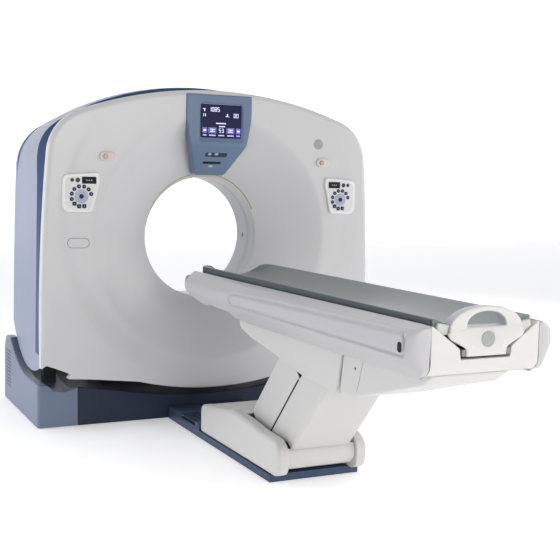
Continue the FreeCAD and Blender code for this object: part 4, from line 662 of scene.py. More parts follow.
def frontCover():
    # rows run from the bore's mouth over the dish and face, round the rim to the flange, and back inside
    c = cover
    wall = gantry["wall"]
    outline = frontOutline(c["columns"])
    normal = inward(outline)
    low = ease((outline[:, 1] - c["lipTop"]) / c["lipBlend"])
    across = c["lipAcross"] + (c["rimAcross"] - c["lipAcross"]) * low
    across = averaged(np.minimum(across, 0.75 * bendRadius(outline, 9)), 3)
    deep = across * c["rimDeep"] / c["rimAcross"]
    turn = np.unwrap(np.arctan2(outline[:, 1] - iso, outline[:, 0]))
    even = np.linspace(0, 2 * math.pi, len(turn), endpoint=False)
    angle = even + averaged(turn - even, 6)
    corner, pull, reach = np.radians(c["cornerPull"])
    for side, way in ((-corner, 1), (corner - math.pi, -1)):
        off = (angle - side + math.pi) % (2 * math.pi) - math.pi
        angle = angle + way * pull * np.exp(-(off / reach) ** 2)
    mouth = polar((0.0, iso), c["mouthRadius"], angle)
    edge = outline + normal * across[:, None]
    rows = [onFace(mouth + (edge - mouth) * t) for t in np.linspace(0, 1, c["rows"]) ** 0.92]
    edgeY = rows[-1][:, 1]

    def rimRow(a, inset):
        p = outline + normal * (inset + across * (1 - math.sin(a)))[:, None]
        return place("XZ", p, edgeY + inset + deep * (1 - math.cos(a)))

    rows += [rimRow(a, 0.0) for a in np.linspace(0, math.pi / 2, c["rimSteps"])[1:]]
    rows += [place("XZ", outline + normal * inset, gantry["flangeY"]) for inset in (0.0, wall)]
    rows += [rimRow(a, wall) for a in (0.9, 0.45, 0.0)]
    rows += [onFace(mouth + (edge - mouth) * t, wall) for t in np.linspace(0.96, 0.012, 22)]
    dress(makeObject("frontCoverSkin", *fromRows(rows, looped=True), crease=50), "coverWhite", "front_cover")


frontCover()
print("front cover made")


shell = {
    "stations": (-0.334, 0.0, 0.240, 0.525),
    "sideX": (0.986, 0.976, 0.970, 0.962),
    "shoulderX": (0.812, 0.800, 0.790, 0.775),
    "shoulderZ": (1.692, 1.698, 1.700, 1.690),
    "crownZ": (1.863, 1.915, 1.9292, 1.9268),
    "bottomZ": 0.25,
    "bendIn": 0.014,
    "bendDown": 0.240,
    "bulgeOut": 0.021,
    "bulgeDown": 0.086,
    "seamX": 0.800,
    "seamGap": 0.0003,
    "rearSeamY": 0.440,
    "rearTopZ": 1.6995,
    "rearBendZ": 0.95,
    "rearSlope": 0.012,
    "rearCurve": 0.134,
    "sweepRadius": 0.754,
    "softened": 16,
    "rollFrom": -0.333,
    "rollTo": (-0.150, 0.060),
    "rollRise": 0.003,
    "rollGap": 0.004,
    "rollFoot": 0.41,
    "blendFrom": 1.35,
    "blendOver": 0.45,
    "wall": 0.006,
}
frontEdge = shell["stations"][0]
rearEdge = shell["rearSeamY"] - shell["seamGap"]


def along(values, y):
    # cubic through the four stations
    return np.polyval(np.polyfit(shell["stations"], values, 3), y)


def circleThrough(a, b, c):
    # centre and radius of the circle through three points, from two perpendicular bisectors
    matrix = 2 * np.array([b - a, c - a])
    right = np.array([b @ b - a @ a, c @ c - a @ a])
    centre = np.linalg.solve(matrix, right)
    return centre, np.linalg.norm(a - centre)


def shellSection(y, inset=0.0):
    # right half of the shell's section: upright side, round shoulder, crown arc up to the middle
    s = shell
    x = along(s["sideX"], y) - inset
    sx = along(s["shoulderX"], y) - 0.7 * inset
    sz = along(s["shoulderZ"], y) - 0.7 * inset
    top = np.array([0.0, along(s["crownZ"], y) - inset])
    bend = np.array([x - s["bendIn"], sz - s["bendDown"]])
    shoulder = np.array([sx, sz])
    middle = np.array([(x + sx) / 2 + s["bulgeOut"], sz - s["bulgeDown"]])
    turn = arcPoints(*circleThrough(bend, middle, shoulder), bend, shoulder, 24)
    crown = arcPoints(*circleThrough(shoulder, top, shoulder * [-1, 1]), shoulder, top, 40)
    side = np.stack([np.linspace(x, bend[0], 40), np.linspace(s["bottomZ"], bend[1], 40)], -1)
    return smoothed(walk(np.vstack([side, turn[1:], crown[1:]]), 600, closed=False), s["softened"])


def cutSection(y, fromZ, toX, count):
    # the part of a section between a height on its side and a place on its crown, at even steps
    line = walk(shellSection(y), 900, closed=False)
    kept = line[(line[:, 1] >= fromZ) & (line[:, 0] >= toX)]
    return walk(kept, count, closed=False)


def rearLimit(z):
    # upright below, then drawn forward: a quadratic in height above the bend
    rise = np.clip(z - shell["rearBendZ"], 0, None)
    return shell["stations"][-1] - shell["rearSlope"] * rise - shell["rearCurve"] * rise ** 2


def sideCovers():
    rows = []
    for t in np.linspace(0, 1, 60):
        y = frontEdge + (rearEdge - frontEdge) * t
        low = iso - math.sqrt(shell["sweepRadius"] ** 2 - y ** 2)
        line = cutSection(y, low, shell["seamX"] + shell["seamGap"], 90)
        rows.append(place("XZ", line, np.minimum(y, rearLimit(line[:, 1]) - 0.002 * (1 - t))))
    right = np.stack(rows)
    for side, name in ((1, "right"), (-1, "left")):
        made = makeObject("sideCover_" + name, *shellOf(right * [side, 1, 1], shell["wall"], -side))
        dress(made, "shellBlue", "side_covers")
        bevelled(made, 0.002, 2, 50)


def topCover():
    s = shell
    rows = []
    for t in np.linspace(0, 1, 60):
        line = shellSection(frontEdge + (rearEdge - frontEdge) * t)
        line = line[line[:, 0] <= s["seamX"] + 0.02]
        whole = walk(mirrored(line), 600, closed=False)
        kept = walk(whole[np.abs(whole[:, 0]) <= s["seamX"] - s["seamGap"]], 140, closed=False)
        reach = np.minimum(rearEdge, rearLimit(kept[:, 1])) - frontEdge
        rows.append(place("XZ", kept, frontEdge + reach * t))
    # down the back to the rear cover's upper edge
    edge = rows[-1]
    for t in np.linspace(0, 1, 16)[1:]:
        z = edge[:, 2] + (np.minimum(s["rearTopZ"], edge[:, 2] - 0.0005) - edge[:, 2]) * t
        rows.append(np.stack([edge[:, 0], np.minimum(rearEdge, rearLimit(z)), z], -1))
    dress(makeObject("topCoverSkin", *shellOf(np.stack(rows), s["wall"], -1)), "crownBlue", "top_cover")


def shellRoll():
    # a dark band over the front edge of the side and top covers, parted where they meet; by height it turns
    # from a section that ends early on the sides to one that ends later on the crown. Its dark tone is partly
    # the band's own darker blue and partly painted shade of the groove there, the shade growing towards the
    # top
    s = shell

    def share(z):
        return ease((z - s["blendFrom"]) / s["blendOver"])

    parts = []
    for low, high in ((s["seamX"] + s["rollGap"], 2.0), (-1.0, s["seamX"] - s["rollGap"])):
        grid = []
        for t in np.linspace(0, 1, 7):
            rise = -s["rollRise"] * (0.15 + math.sin(math.pi * t))
            ends = [s["rollFrom"] + (to - s["rollFrom"]) * t for to in s["rollTo"]]
            early, late = [walk(shellSection(y, rise), 700, closed=False) for y in ends]
            line = early + (late - early) * share(early[:, 1:])
            line = line[(line[:, 0] >= low) & (line[:, 0] <= high) & (line[:, 1] > s["rollFoot"])]
            line = walk(mirrored(line) if low < 0 else line, 160, closed=False)
            grid.append(place("XZ", line, ends[0] + (ends[1] - ends[0]) * share(line[:, 1])))
        grid = np.stack(grid)
        for side in (1, -1) if low > 0 else (1,):
            parts.append(shellOf(grid * [side, 1, 1], 0.002, -side))
    dress(merged("shellRoll", parts), "rollBlueShaded", "side_covers", adds=True)


sideCovers()
topCover()
shellRoll()
print("shell covers made")


bore = {
    "radius": 0.350,
    "front": -0.144,
    "rear": 0.135,
    "wall": 0.005,
    "lines": (-0.114, -0.055, -0.009),
    "lineWidth": 0.0022,
    "lineDepth": 0.0022,
    "slot": (-0.040, -0.028),
    "slotDepth": 0.0018,
    "cutSlope": 0.0004,
}


def lathe(name, profile, segments=192):
    # a closed row of radius and Y pairs turned about the bore's axis
    angle = np.arange(segments) / segments * 2 * math.pi
    profile = np.asarray(profile)
    radius = profile[:, :1]
    spun = np.stack([radius * np.cos(angle), profile[:, 1:] + 0 * angle, iso + radius * np.sin(angle)], -1)
    return makeObject(name, *fromRows(spun, looped=True), crease=40)


def boreLining():
    b = bore
    radius = b["radius"]
    cuts = [(y - b["lineWidth"] / 2, y + b["lineWidth"] / 2, radius + b["lineDepth"]) for y in b["lines"]]
    cuts.append((*b["slot"], radius + b["slotDepth"]))
    inner = [(radius, b["front"])]
    for low, high, deep in sorted(cuts):
        inner += [(radius, low), (deep, low + b["cutSlope"]), (deep, high - b["cutSlope"]), (radius, high)]
    outer = radius + b["wall"]
    made = lathe("boreLining", inner + [(radius, b["rear"]), (outer, b["rear"]), (outer, b["front"])])
    dress(made, "tunnelWhite", "tunnel_ring")


boreLining()


panel = {
    "x": 0.788,
    "height": 1.298,
    "halfWidth": 0.089,
    "halfHeight": 0.092,
    "podMargin": 0.016,
    "podRise": 0.009,
    "keyDrop": 0.022,
    "keyRing": 0.054,
    "keyRadius": 0.0108,
    "keys": 10,
    "roundKeys": 7,
    "firstKey": 14.0,
    "keyStep": 30.3,
    "haloRadius": 0.037,
    "centreRadius": 0.0123,
    "window": (-0.042, 0.064),
    "windowHalf": (0.039, 0.0185),
    "digitStep": 0.013,
    "lamps": ((0.020, 0.0125), (0.050, 0.0100)),
}


def podLoop(side, margin):
    # panel outline: wider at the top, drawn away from the bore at the bottom
    w = panel["halfWidth"] + margin
    h = panel["halfHeight"] + margin
    z = panel["height"]
    inner = panel["x"] - w
    outer = panel["x"] + w
    corners = [(outer, z - h), (outer - 0.003, z + h - 0.014), (inner + 0.006, z + h),
               (inner, z + h - 0.040), (inner + 0.042, z - h)]
    loop = rounded(corners, [0.044, 0.030, 0.020, 0.050, 0.026], 14)
    return walk(anticlockwise(loop * [side, 1]), 120)


def controlPanels():
    p = panel
    front = faceY - p["podRise"]
    keyZ = p["height"] - p["keyDrop"]
    r = p["keyRadius"]
    pods, plates, halos, keys, marks, windows, digits, lamps = [[] for i in range(8)]
    for side in (-1, 1):
        x = side * p["x"]
        pods.append(slab("XZ", podLoop(side, p["podMargin"]), front + 0.0012, faceY + 0.006, 0.0075, 7))
        plates.append(slab("XZ", podLoop(side, 0.0), front, faceY + 0.004, 0.0009))
        halos.append(slab("XZ", circle(x, keyZ, p["haloRadius"], 64), front - 0.0017, front, 0.0008))
        for i in range(p["keys"]):
            kx, kz = polar((x, keyZ), p["keyRing"], math.radians(p["firstKey"] + p["keyStep"] * i))
            square = walk(rounded(rectangle(kx, kz, r, r), 0.004), 40)
            loop = circle(kx, kz, r, 28) if i < p["roundKeys"] else square
            keys.append(slab("XZ", loop, front - 0.003, front, 0.0012))
            marks.append(slab("XZ", circle(kx, kz, r * 0.22, 14), front - 0.0033, front - 0.0028))
        wx, wz = side * (p["x"] + p["window"][0]), p["height"] + p["window"][1]
        pane = walk(rounded(rectangle(wx, wz, *p["windowHalf"]), 0.004), 60)
        windows.append(slab("XZ", pane, front - 0.0012, front, 0.0006))
        for k in (-1, 0, 1):
            digit = stadium(wx + p["digitStep"] * k, wz, 0.0035, 0.0034, 20)
            digits.append(slab("XZ", digit, front - 0.0016, front - 0.0011))
        for out, radius in p["lamps"]:
            lamps.append(slab("XZ", circle(side * (p["x"] + out), wz, radius, 24), front - 0.001, front))
    dress(merged("panelPods", pods), "podWhite", "front_cover", adds=True)
    dress(merged("panelPlates", plates), "panelGrey", "control_panels")
    dress(merged("keyHalos", halos), "ringBlue", "keypads", adds=True)
    dress(merged("keys", keys), "keyNavy", "keypads")
    dress(merged("keyMarks", marks), "keyMark", "keypads", adds=True)
    dress(merged("readoutWindows", windows), "darkGap", "readouts")
    dress(merged("readoutDigits", digits), "keyMark", "readouts", adds=True)
    dress(merged("panelLamps", lamps), "capGrey", "readouts", adds=True)
    for side, name in ((-1, "left"), (1, "right")):
        loop = circle(side * p["x"], keyZ, p["centreRadius"], 40)
        cap = prism("centreKey_" + name, "XZ", loop, front - 0.005, front + 0.004, 0.0022)
        dress(cap, "keyNavy", "centre_key_" + name)


stops = {
    "x": 0.657,
    "height": 1.491,
    "shift": 0.012,
    "halfLength": 0.043,
    "halfHeight": 0.025,
    "rise": 0.007,
    "buttonRadius": 0.0138,
    "buttonRise": 0.009,
    "markHalf": (0.0085, 0.0013),
}


def stopButtons():
    # an oval bezel with a round button, whose mark is two crossed bars
    s = stops
    front = faceY - s["rise"]
    top = front - s["buttonRise"]
    for side, name, look in ((-1, "left", "bezelRose"), (1, "right", "bezelCream")):
        x = side * s["x"]
        loop = stadium(x + s["shift"], s["height"], s["halfLength"], s["halfHeight"], 96)
        plate = slab("XZ", loop, front, faceY + 0.004, 0.0045, 6)
        dress(merged("stopBezel_" + name, [plate]), look, "stop_bezels", adds=side > 0)
        loop = circle(x, s["height"], s["buttonRadius"], 48)
        cap = prism("stopButton_" + name, "XZ", loop, top, front + 0.0012, 0.004)
        dress(cap, "buttonRed", "stop_button_" + name)
        bars = []
        for turn in (0.785, 2.356):
            turned = np.array([(math.cos(turn), math.sin(turn)), (-math.sin(turn), math.cos(turn))])
            loop = rectangle(0, 0, *s["markHalf"]) @ turned + [x, s["height"]]
            bars.append(slab("XZ", loop, top - 0.0003, top + 0.001))
        dress(merged("stopMark_" + name, bars), "bezelCream", "stop_button_" + name, adds=True)


faceMarks = {
    "cap": (-0.798, 1.026, 0.061, 0.027),
    "capLine": 0.0022,
    "disc": (0.637, 1.600, 0.030),
}


def faceFittings():
    # a thin dark outline round a flush oval cap, and a plain disc
    outer = anticlockwise(stadium(*faceMarks["cap"], 96))
    inner = outer + inward(outer) * faceMarks["capLine"]
    rows = [onFace(outer, -0.0006), onFace(inner, -0.0006), onFace(inner, 0.002), onFace(outer, 0.002)]
    dress(makeObject("capOutline", *fromRows(rows, looped=True)), "capGrey", "face_caps")
    disc = circle(*faceMarks["disc"], 56)
    y = onFace(disc)[:, 1].min()
    made = merged("plainDisc", [slab("XZ", disc, y - 0.0012, y + 0.004, 0.0006)])
    dress(made, "blankDisc", "face_caps", adds=True)


controlPanels()
stopButtons()
faceFittings()
print("panels, stops and caps made")


console = {
    "halfWidth": 0.199,
    "waist": 0.172,
    "bottomHalf": 0.092,
    "bottom": 1.404,
    "bend": 1.572,
    "flank": 1.722,
    "top": 1.853,
    "radii": [0.030, 0.180, 0.320, 0.010],
    "rise": 0.008,
    "footY": -0.250,
    "edge": 0.009,
    "creaseReach": 0.0045,
    "depth": 0.050,
    "screen": (0.012, 1.706),
    "screenHalf": (0.123, 0.093),
    "screenRadius": 0.014,
    "trayDepth": 0.009,
    # how far the tray's slope reaches above the screen's middle, how much further below, over which drop
    "traySlope": (0.013, 0.020, 0.12),
}


def consoleHalf(z):
    c = console
    right = [(c["bottomHalf"], c["bottom"]), (c["waist"], c["bend"]), (c["halfWidth"], c["flank"]),
             (c["halfWidth"], c["top"])]
    loop = rounded(bothSides(right), c["radii"] + c["radii"][::-1], 16)
    edge = loop[loop[:, 0] > 0.03]
    edge = edge[np.argsort(edge[:, 1])]
    return np.interp(z, edge[:, 1], edge[:, 0])


def roundRect(x, z, centre, half, radius):
    # distance outside a rectangle with round corners; negative inside
    dx = np.abs(x - centre[0]) - half[0] + radius
    dz = np.abs(z - centre[1]) - half[1] + radius
    return np.hypot(np.maximum(dx, 0), np.maximum(dz, 0)) + np.minimum(np.maximum(dx, dz), 0) - radius


def consoleFront(x, z):
    # level above the bend, leaning back below it, the crease rounded; a sunk tray round the screen
    c = console
    front = faceY - c["rise"]
    slope = (c["footY"] - front) / (c["bend"] - c["bottom"])
    y = softMax(front + 0 * x, front + (c["bend"] - z) * slope, c["creaseReach"])
    tray = roundRect(x, z, c["screen"], c["screenHalf"], c["screenRadius"])
    above, below, drop = c["traySlope"]
    reach = above + below * ease((c["screen"][1] - z) / drop)
    return y + c["trayDepth"] * ease((reach - tray) / reach)


def consoleBody():
    c = console
    across = edged(-1, 1, 90, 0.05, steps=6)
    rows = []
    for z in edged(c["bottom"], c["top"], 150, c["edge"], steps=6):
        half = consoleHalf(z)
        x = across * half
        gap = np.minimum(half - np.abs(x), min(z - c["bottom"], c["top"] - z))
        y = consoleFront(x, z + 0 * x) + rolled(gap, c["edge"])
        xs = np.concatenate([x, np.linspace(half, -half, 8)])
        ys = np.concatenate([y, np.full(8, y.max() + c["depth"])])
        rows.append(np.stack([xs, ys, z + 0 * xs], -1))
    dress(makeObject("consoleBody", *fromRows(rows), crease=40), "consoleBlue", "display_console")


sevenBars = {
    # which of the bars top, upper right, lower right, bottom, lower left, upper left and middle are lit
    "0": "1111110", "1": "0110000", "3": "1111001", "5": "1011011", "8": "1111111",
}
screenMarks = {
    # what lies on the glass, from its middle: figures as text, x, z and height; for each piece its finish,
    # how far it stands out, and its boxes as x, z, half width and half height
    "figures": (("1085", -0.074, 0.054, 0.021), ("00", 0.076, 0.024, 0.020), ("53", -0.013, -0.062, 0.020)),
    "screenFigures": ("screenWhite", 0.0008, (
        (-0.105, 0.066, 0.008, 0.0022), (-0.102, 0.060, 0.0022, 0.008), (-0.107, 0.032, 0.002, 0.008),
        (-0.097, 0.032, 0.002, 0.008), (0.036, 0.028, 0.010, 0.002), (0.036, 0.037, 0.003, 0.006),
        (-0.002, -0.012, 0.030, 0.0030), (0.004, -0.029, 0.018, 0.0026),
        (-0.054, -0.046, 0.014, 0.0022), (-0.054, -0.058, 0.014, 0.0022), (-0.054, -0.052, 0.0022, 0.006),
        (0.056, -0.046, 0.014, 0.0022), (0.056, -0.058, 0.014, 0.0022), (0.056, -0.052, 0.0022, 0.006),
        (-0.100, -0.052, 0.008, 0.005), (0.104, -0.052, 0.008, 0.005))),
    "screenBoxes": ("screenViolet", 0.0004, (
        (-0.100, -0.052, 0.014, 0.016), (-0.054, -0.052, 0.024, 0.016), (0.056, -0.052, 0.024, 0.016),
        (0.104, -0.052, 0.014, 0.016))),
    "screenLabels": ("screenLilac", 0.0008, (
        (-0.100, -0.079, 0.011, 0.0035), (-0.054, -0.079, 0.020, 0.0035), (0.0, -0.079, 0.018, 0.0035),
        (0.056, -0.079, 0.020, 0.0035), (0.104, -0.079, 0.011, 0.0035))),
}


def digitLoops(text, x, z, height):
    # bars of seven-bar figures, each a small upright or level rectangle
    width = height * 0.5
    thick = height * 0.15
    spots = [(0.5, 1.0, 1), (1.0, 0.75, 0), (1.0, 0.25, 0), (0.5, 0.0, 1), (0.0, 0.25, 0), (0.0, 0.75, 0),
             (0.5, 0.5, 1)]
    loops = []
    for n, letter in enumerate(text):
        left = x + n * width * 1.6
        for lit, (u, v, level) in zip(sevenBars[letter], spots):
            half = (width / 2, thick / 2) if level else (thick / 2, height / 4 + thick / 3)
            if lit == "1":
                loops.append(rectangle(left + u * width, z + v * height, *half))
    return loops


def displayScreen():
    c = console
    glassY = faceY - c["rise"] + 0.0045
    sx, sz = c["screen"]
    loop = walk(rounded(rectangle(sx, sz, *c["screenHalf"]), 0.006), 120)
    made = merged("screenGlass", [slab("XZ", loop, glassY, glassY + 0.005, 0.0008)])
    dress(made, "screenNavy", "display_screen")
    for name in ("screenFigures", "screenBoxes", "screenLabels"):
        look, lift, boxes = screenMarks[name]
        loops = [rectangle(sx + dx, sz + dz, w, h) for dx, dz, w, h in boxes]
        if name == "screenFigures":
            for text, dx, dz, height in screenMarks["figures"]:
                loops += digitLoops(text, sx + dx, sz + dz, height)
        parts = [slab("XZ", np.array(loop), glassY - lift, glassY + 0.0005) for loop in loops]
        dress(merged(name, parts), look, "display_screen", adds=True)


consoleOvals = {
    # openings and marks on the leaning part: x, height, half length, half height and how far they stand out
    # the grille and slot are dark fills in their openings: painted shade
    "consoleGrille": ("grilleShadeBlue", ((0.000, 1.519, 0.068, 0.0115, 0.0004),)),
    "consoleSlot": ("darkGap", ((-0.011, 1.4745, 0.056, 0.0065, 0.0005),)),
    "consoleMarks": ("keyMark", (
        (-0.040, 1.522, 0.010, 0.0055, 0.0010), (0.000, 1.523, 0.011, 0.0055, 0.0010),
        (-0.011, 1.455, 0.014, 0.0055, 0.0006))),
}


def consoleSlots():
    for name, (look, ovals) in consoleOvals.items():
        parts = []
        for *oval, lift in ovals:
            loop = anticlockwise(stadium(*oval))
            y = consoleFront(loop[:, 0], loop[:, 1])
            parts.append(fromRows([place("XZ", loop, y - lift), place("XZ", loop, y + 0.003)]))
        dress(merged(name, parts), look, "display_console", adds=True)


consoleBody()
displayScreen()
consoleSlots()


crescent = {
    "span": (24.0, 156.0),
    "upperZ": 1.066,
    "upperRadius": 0.346,
    "lowerRadius": 0.3515,
    "lineRise": 0.003,
}


def boreCrescent():
    # pale strip over the bore's mouth, between two circles, with a dark line along its upper edge
    c = crescent
    angle = np.radians(np.linspace(*c["span"], 120))
    upper = polar((0.0, c["upperZ"]), c["upperRadius"], angle)
    lower = polar((0.0, iso), c["lowerRadius"], angle)
    share = np.linspace(0, 1, 8)[:, None, None]
    grid = onFace(lower * (1 - share) + upper * share, -0.0006)
    made = makeObject("boreCrescent", *thickened(grid, 0.0025, (0.0, 1.0, 0.0)))
    dress(made, "windowBeige", "front_cover", adds=True)
    grid = onFace(np.stack([upper, upper + unit(upper - [0.0, iso]) * c["lineRise"]]), -0.0005)
    grid = np.concatenate([grid, grid[-1:] + [0, 0.0005, 0.0003]])
    made = makeObject("boreCrescentEdge", *thickened(grid, 0.002, (0.0, 1.0, 0.0)))
    dress(made, "seamGrey", "front_cover", adds=True)


boreCrescent()
print("console and screen made")


base = {
    "halfWidth": 0.990,
    "seamX": 0.768,
    "seamGap": 0.0012,
    "splitGap": 0.0003,
    "frontY": -0.260,
    "rearY": 0.645,
    "splitY": 0.2403,
    "earX": (0.906, 0.948),
    "earHollow": 0.802,
    "earTop": 0.400,
    "hollowY": 0.46,
    "hollowRise": 2.2,
    "fallY": 0.565,
    "fallLong": 0.08,
    "fallDeep": 0.13,
    "rearLevel": 0.275,
    "bowlEnd": 0.62,
    "floorGap": 0.004,
    "cornerRadius": 0.022,
    "edge": 0.006,
    "frontX": (0.0, 0.30, 0.55, 0.767, 0.800, 0.839, 0.896, 0.951, 0.990),
    "frontZ": (0.129, 0.147, 0.186, 0.223, 0.209, 0.198, 0.207, 0.233, 0.243),
    "clearX": (0.0, 0.45, 0.70, 0.858, 1.0),
    "clearRadius": (0.948, 0.894, 0.868, 0.855, 0.855),
    "swingX": (0.0, 0.51, 0.58, 1.0),
    "swingRadius": (0.921, 0.921, 0.868, 0.850),
    "swingBlend": 0.06,
}
# dark plates standing in the base's vent slots: painted shade of the openings
louvres = {
    "rows": 11,
    "columns": 3,
    "first": (0.466, 0.092),
    "step": (0.044, 0.021),
    "corners": ((0.0, 0.0), (0.034, 0.009), (0.034, 0.0155), (0.0, 0.0065)),
    "inX": 0.9885,
    "outX": 0.9904,
}


def baseTop(x, y):
    # valley: a cylinder about the tilt axis, kept in front below a line of points and behind below a level;
    # ear: a smaller such cylinder, then a level top that ends in a quarter ellipse; |x| blends the two
    b = base
    a = np.abs(x)
    near = np.interp(a, b["clearX"], b["clearRadius"])
    swing = np.maximum(np.interp(a, b["swingX"], b["swingRadius"]) - near, 0)
    radius = near + swing * ease(y / b["swingBlend"])
    bowl = iso - np.sqrt(radius ** 2 - np.minimum(np.abs(y), b["bowlEnd"]) ** 2)
    front = softMin(bowl, np.interp(a, b["frontX"], b["frontZ"]), 0.003)
    valley = np.where(y < 0, front, np.minimum(bowl, b["rearLevel"]))
    hollow = iso - np.sqrt(b["earHollow"] ** 2 - np.clip(y, 0, b["hollowY"]) ** 2)
    hollow = hollow + b["hollowRise"] * np.clip(y - b["hollowY"], 0, 0.1)
    fall = np.clip((y - b["fallY"]) / b["fallLong"], 0, 1)
    ear = softMin(hollow, b["earTop"] + 0 * y, 0.004)
    ear = np.minimum(ear, b["earTop"] - b["fallDeep"] * (1 - np.sqrt(1 - fall ** 2)))
    share = ease((a - b["earX"][0]) / (b["earX"][1] - b["earX"][0]))
    return valley + (np.maximum(ear, valley) - valley) * share


def heightBlock(name, xs, ys, roundOuter=False):
    # a top surface over a grid, walls down to the floor gap, and a floor; its free edges are rolled over
    b = base
    x, y = np.meshgrid(xs, ys)
    gap = np.ones_like(x)
    if roundOuter:
        inner, outer = min(abs(xs[0]), abs(xs[-1])), b["halfWidth"]
        cut = rolled(y - b["frontY"], b["cornerRadius"])
        x = np.sign(x) * (inner + (np.abs(x) - inner) * (outer - cut - inner) / (outer - inner))
        gap = outer - np.abs(x)
    if ys[0] < 0:
        gap = np.minimum(gap, y - ys[0])
    if ys[-1] > b["splitY"]:
        gap = np.minimum(gap, ys[-1] - y)
    top = np.stack([x, y, baseTop(x, y) - rolled(gap, b["edge"])], -1).reshape(-1, 3)
    rows, columns = x.shape
    index = np.arange(rows * columns).reshape(rows, columns)
    border = np.concatenate([index[0], index[1:, -1], index[-1, -2::-1], index[-2:0:-1, 0]])
    points = np.vstack([top, top[border] * [1, 1, 0] + [0, 0, b["floorGap"]]])
    under = rows * columns + np.arange(len(border))
    faces = list(gridFaces(rows, columns))
    faces += list(np.stack([border, np.roll(border, -1), np.roll(under, -1), under], -1))
    faces.append(list(under))
    return makeObject(name, points, faces, crease=32)


def baseCovers():
    b = base
    corner = b["frontY"] + b["cornerRadius"] * (1 - np.cos(np.linspace(0, math.pi / 2, 10)))
    ys = np.unique(np.concatenate([corner, edged(b["frontY"], b["rearY"], 150, b["edge"])]).round(6))
    for side, name in ((-1, "left"), (1, "right")):
        xs = side * edged(b["seamX"] + b["seamGap"], b["halfWidth"], 70, b["edge"], lowEdge=False)
        made = heightBlock("baseSide_" + name, xs, ys, roundOuter=True)
        dress(made, "baseBlue", "base_side_covers", adds=side > 0)
    xs = np.linspace(-b["seamX"] + b["seamGap"], b["seamX"] - b["seamGap"], 90)
    ys = edged(b["frontY"], b["splitY"] - b["splitGap"], 40, b["edge"], highEdge=False)
    # the front and rear covers' dark slate holds painted shade under the gantry
    dress(heightBlock("baseFront", xs, ys), "baseSlateShaded", "base_end_covers")
    ys = edged(b["splitY"] + b["splitGap"], b["rearY"], 40, b["edge"], lowEdge=False)
    dress(heightBlock("baseRear", xs, ys), "baseSlateShaded", "base_end_covers", adds=True)
    # the vents are dark plates on the side walls: painted shade
    slots = []
    for side in (-1, 1):
        low, high = sorted((side * louvres["inX"], side * louvres["outX"]))
        for row in range(louvres["rows"]):
            for column in range(louvres["columns"]):
                corner = np.array(louvres["first"]) + np.array(louvres["step"]) * [column, row]
                slots.append(slab("YZ", corner + louvres["corners"], low, high))
    dress(merged("baseLouvreShadows", slots), "darkGap", "base_side_covers", adds=True)


baseCovers()
print("base covers made")


foot = {
    "innerX": 0.178,
    "outerX": 0.233,
    "topRound": 0.019,
    "outline": [(-0.745, 0.0355), (-0.745, 0.186), (-0.812, 0.192), (-1.144, 0.238), (-1.300, 0.232),
                (-1.480, 0.212), (-1.635, 0.205), (-1.698, 0.172), (-1.698, 0.057), (-1.645, 0.0355)],
    "radii": [0.020, 0.034, 0.060, 0.220, 0.220, 0.120, 0.060, 0.060, 0.050, 0.022],
    "deckHalf": 0.1772,
    "deckOuter": [(-0.7445, 0.0355), (-0.7445, 0.180), (-0.812, 0.1935), (-1.120, 0.2335), (-1.215, 0.2325)],
    "deckInner": [(-1.215, 0.2245), (-1.120, 0.2255), (-0.812, 0.1855), (-0.7525, 0.172), (-0.7525, 0.0355)],
    "deckRadii": [0, 0.022, 0.06, 0.12, 0.002, 0.002, 0.12, 0.06, 0.014, 0],
}


def footCovers():
    f = foot
    loop = walk(rounded(f["outline"], f["radii"], 12), 260)
    rows = np.array(prismRows("YZ", loop, f["innerX"], f["outerX"], 0.003, f["topRound"], 7))
    feet = [fromRows(rows * [side, 1, 1]) for side in (-1, 1)]
    dress(merged("footCovers", feet), "tableWhite", "foot_covers")
    deck = rounded(f["deckOuter"] + f["deckInner"], f["deckRadii"], 8)
    made = merged("footDeck", [slab("YZ", deck, -f["deckHalf"], f["deckHalf"], 0.002, 3)])
    dress(made, "tableWhite", "foot_covers", adds=True)


footCovers()
softCopy("tablePlate", "table_frame", "footBlue", 0.0015)
softCopy("stepCover", "step_cover", "footBlue", 0.0016, beyond=-0.7449)
for index in range(1, 5):
    softCopy("pedal_%d_pad" % index, "pedal_%d" % index, "rubber", 0.0014)


arms = {
    "angle": math.radians(47.7),
    "front": (-1.615, 0.122),
    "rear": (-1.345, 0.197),
    "wall": 0.005,
    "edge": 0.016,
    "frontHalf": 0.156,
    "rearHalf": 0.1485,
    "frontReach": (-0.018, 0.162),
    "rearReach": (0.130, -0.080),
    # the two end shapes of each cover: rises square to the arm, and the run along it at each
    "frontLow": ((-0.018, 0.0, 0.03, 0.06, 0.10, 0.14, 0.164),
                 (0.067, 0.066, 0.060, 0.030, -0.015, -0.050, -0.056)),
    "frontHigh": ((-0.018, 0.104, 0.134, 0.155, 0.162), (0.566, 0.566, 0.563, 0.554, 0.542)),
    "rearLow": ((-0.080, -0.04, 0.0, 0.05, 0.10, 0.118, 0.130),
                (-0.030, -0.034, -0.036, -0.040, -0.040, -0.025, 0.005)),
    "rearHigh": ((-0.080, 0.060, 0.090, 0.118, 0.130), (0.480, 0.480, 0.465, 0.430, 0.400)),
    "seamRise": (-0.0785, -0.0685),
    "seamRun": (-0.026, 0.470),
    "crossRadius": 0.066,
    "crossHalf": 0.1765,
    "crossRound": 0.003,
    "crossWall": 0.006,
    "crossOpen": 0.13,
}


def armPlace(pivot, x, run, rise):
    # a point from its run along the arm and its rise square to it
    c, s = math.cos(arms["angle"]), math.sin(arms["angle"])
    return np.stack([x + 0 * run, pivot[0] - c * run + s * rise, pivot[1] + s * run + c * rise], -1)


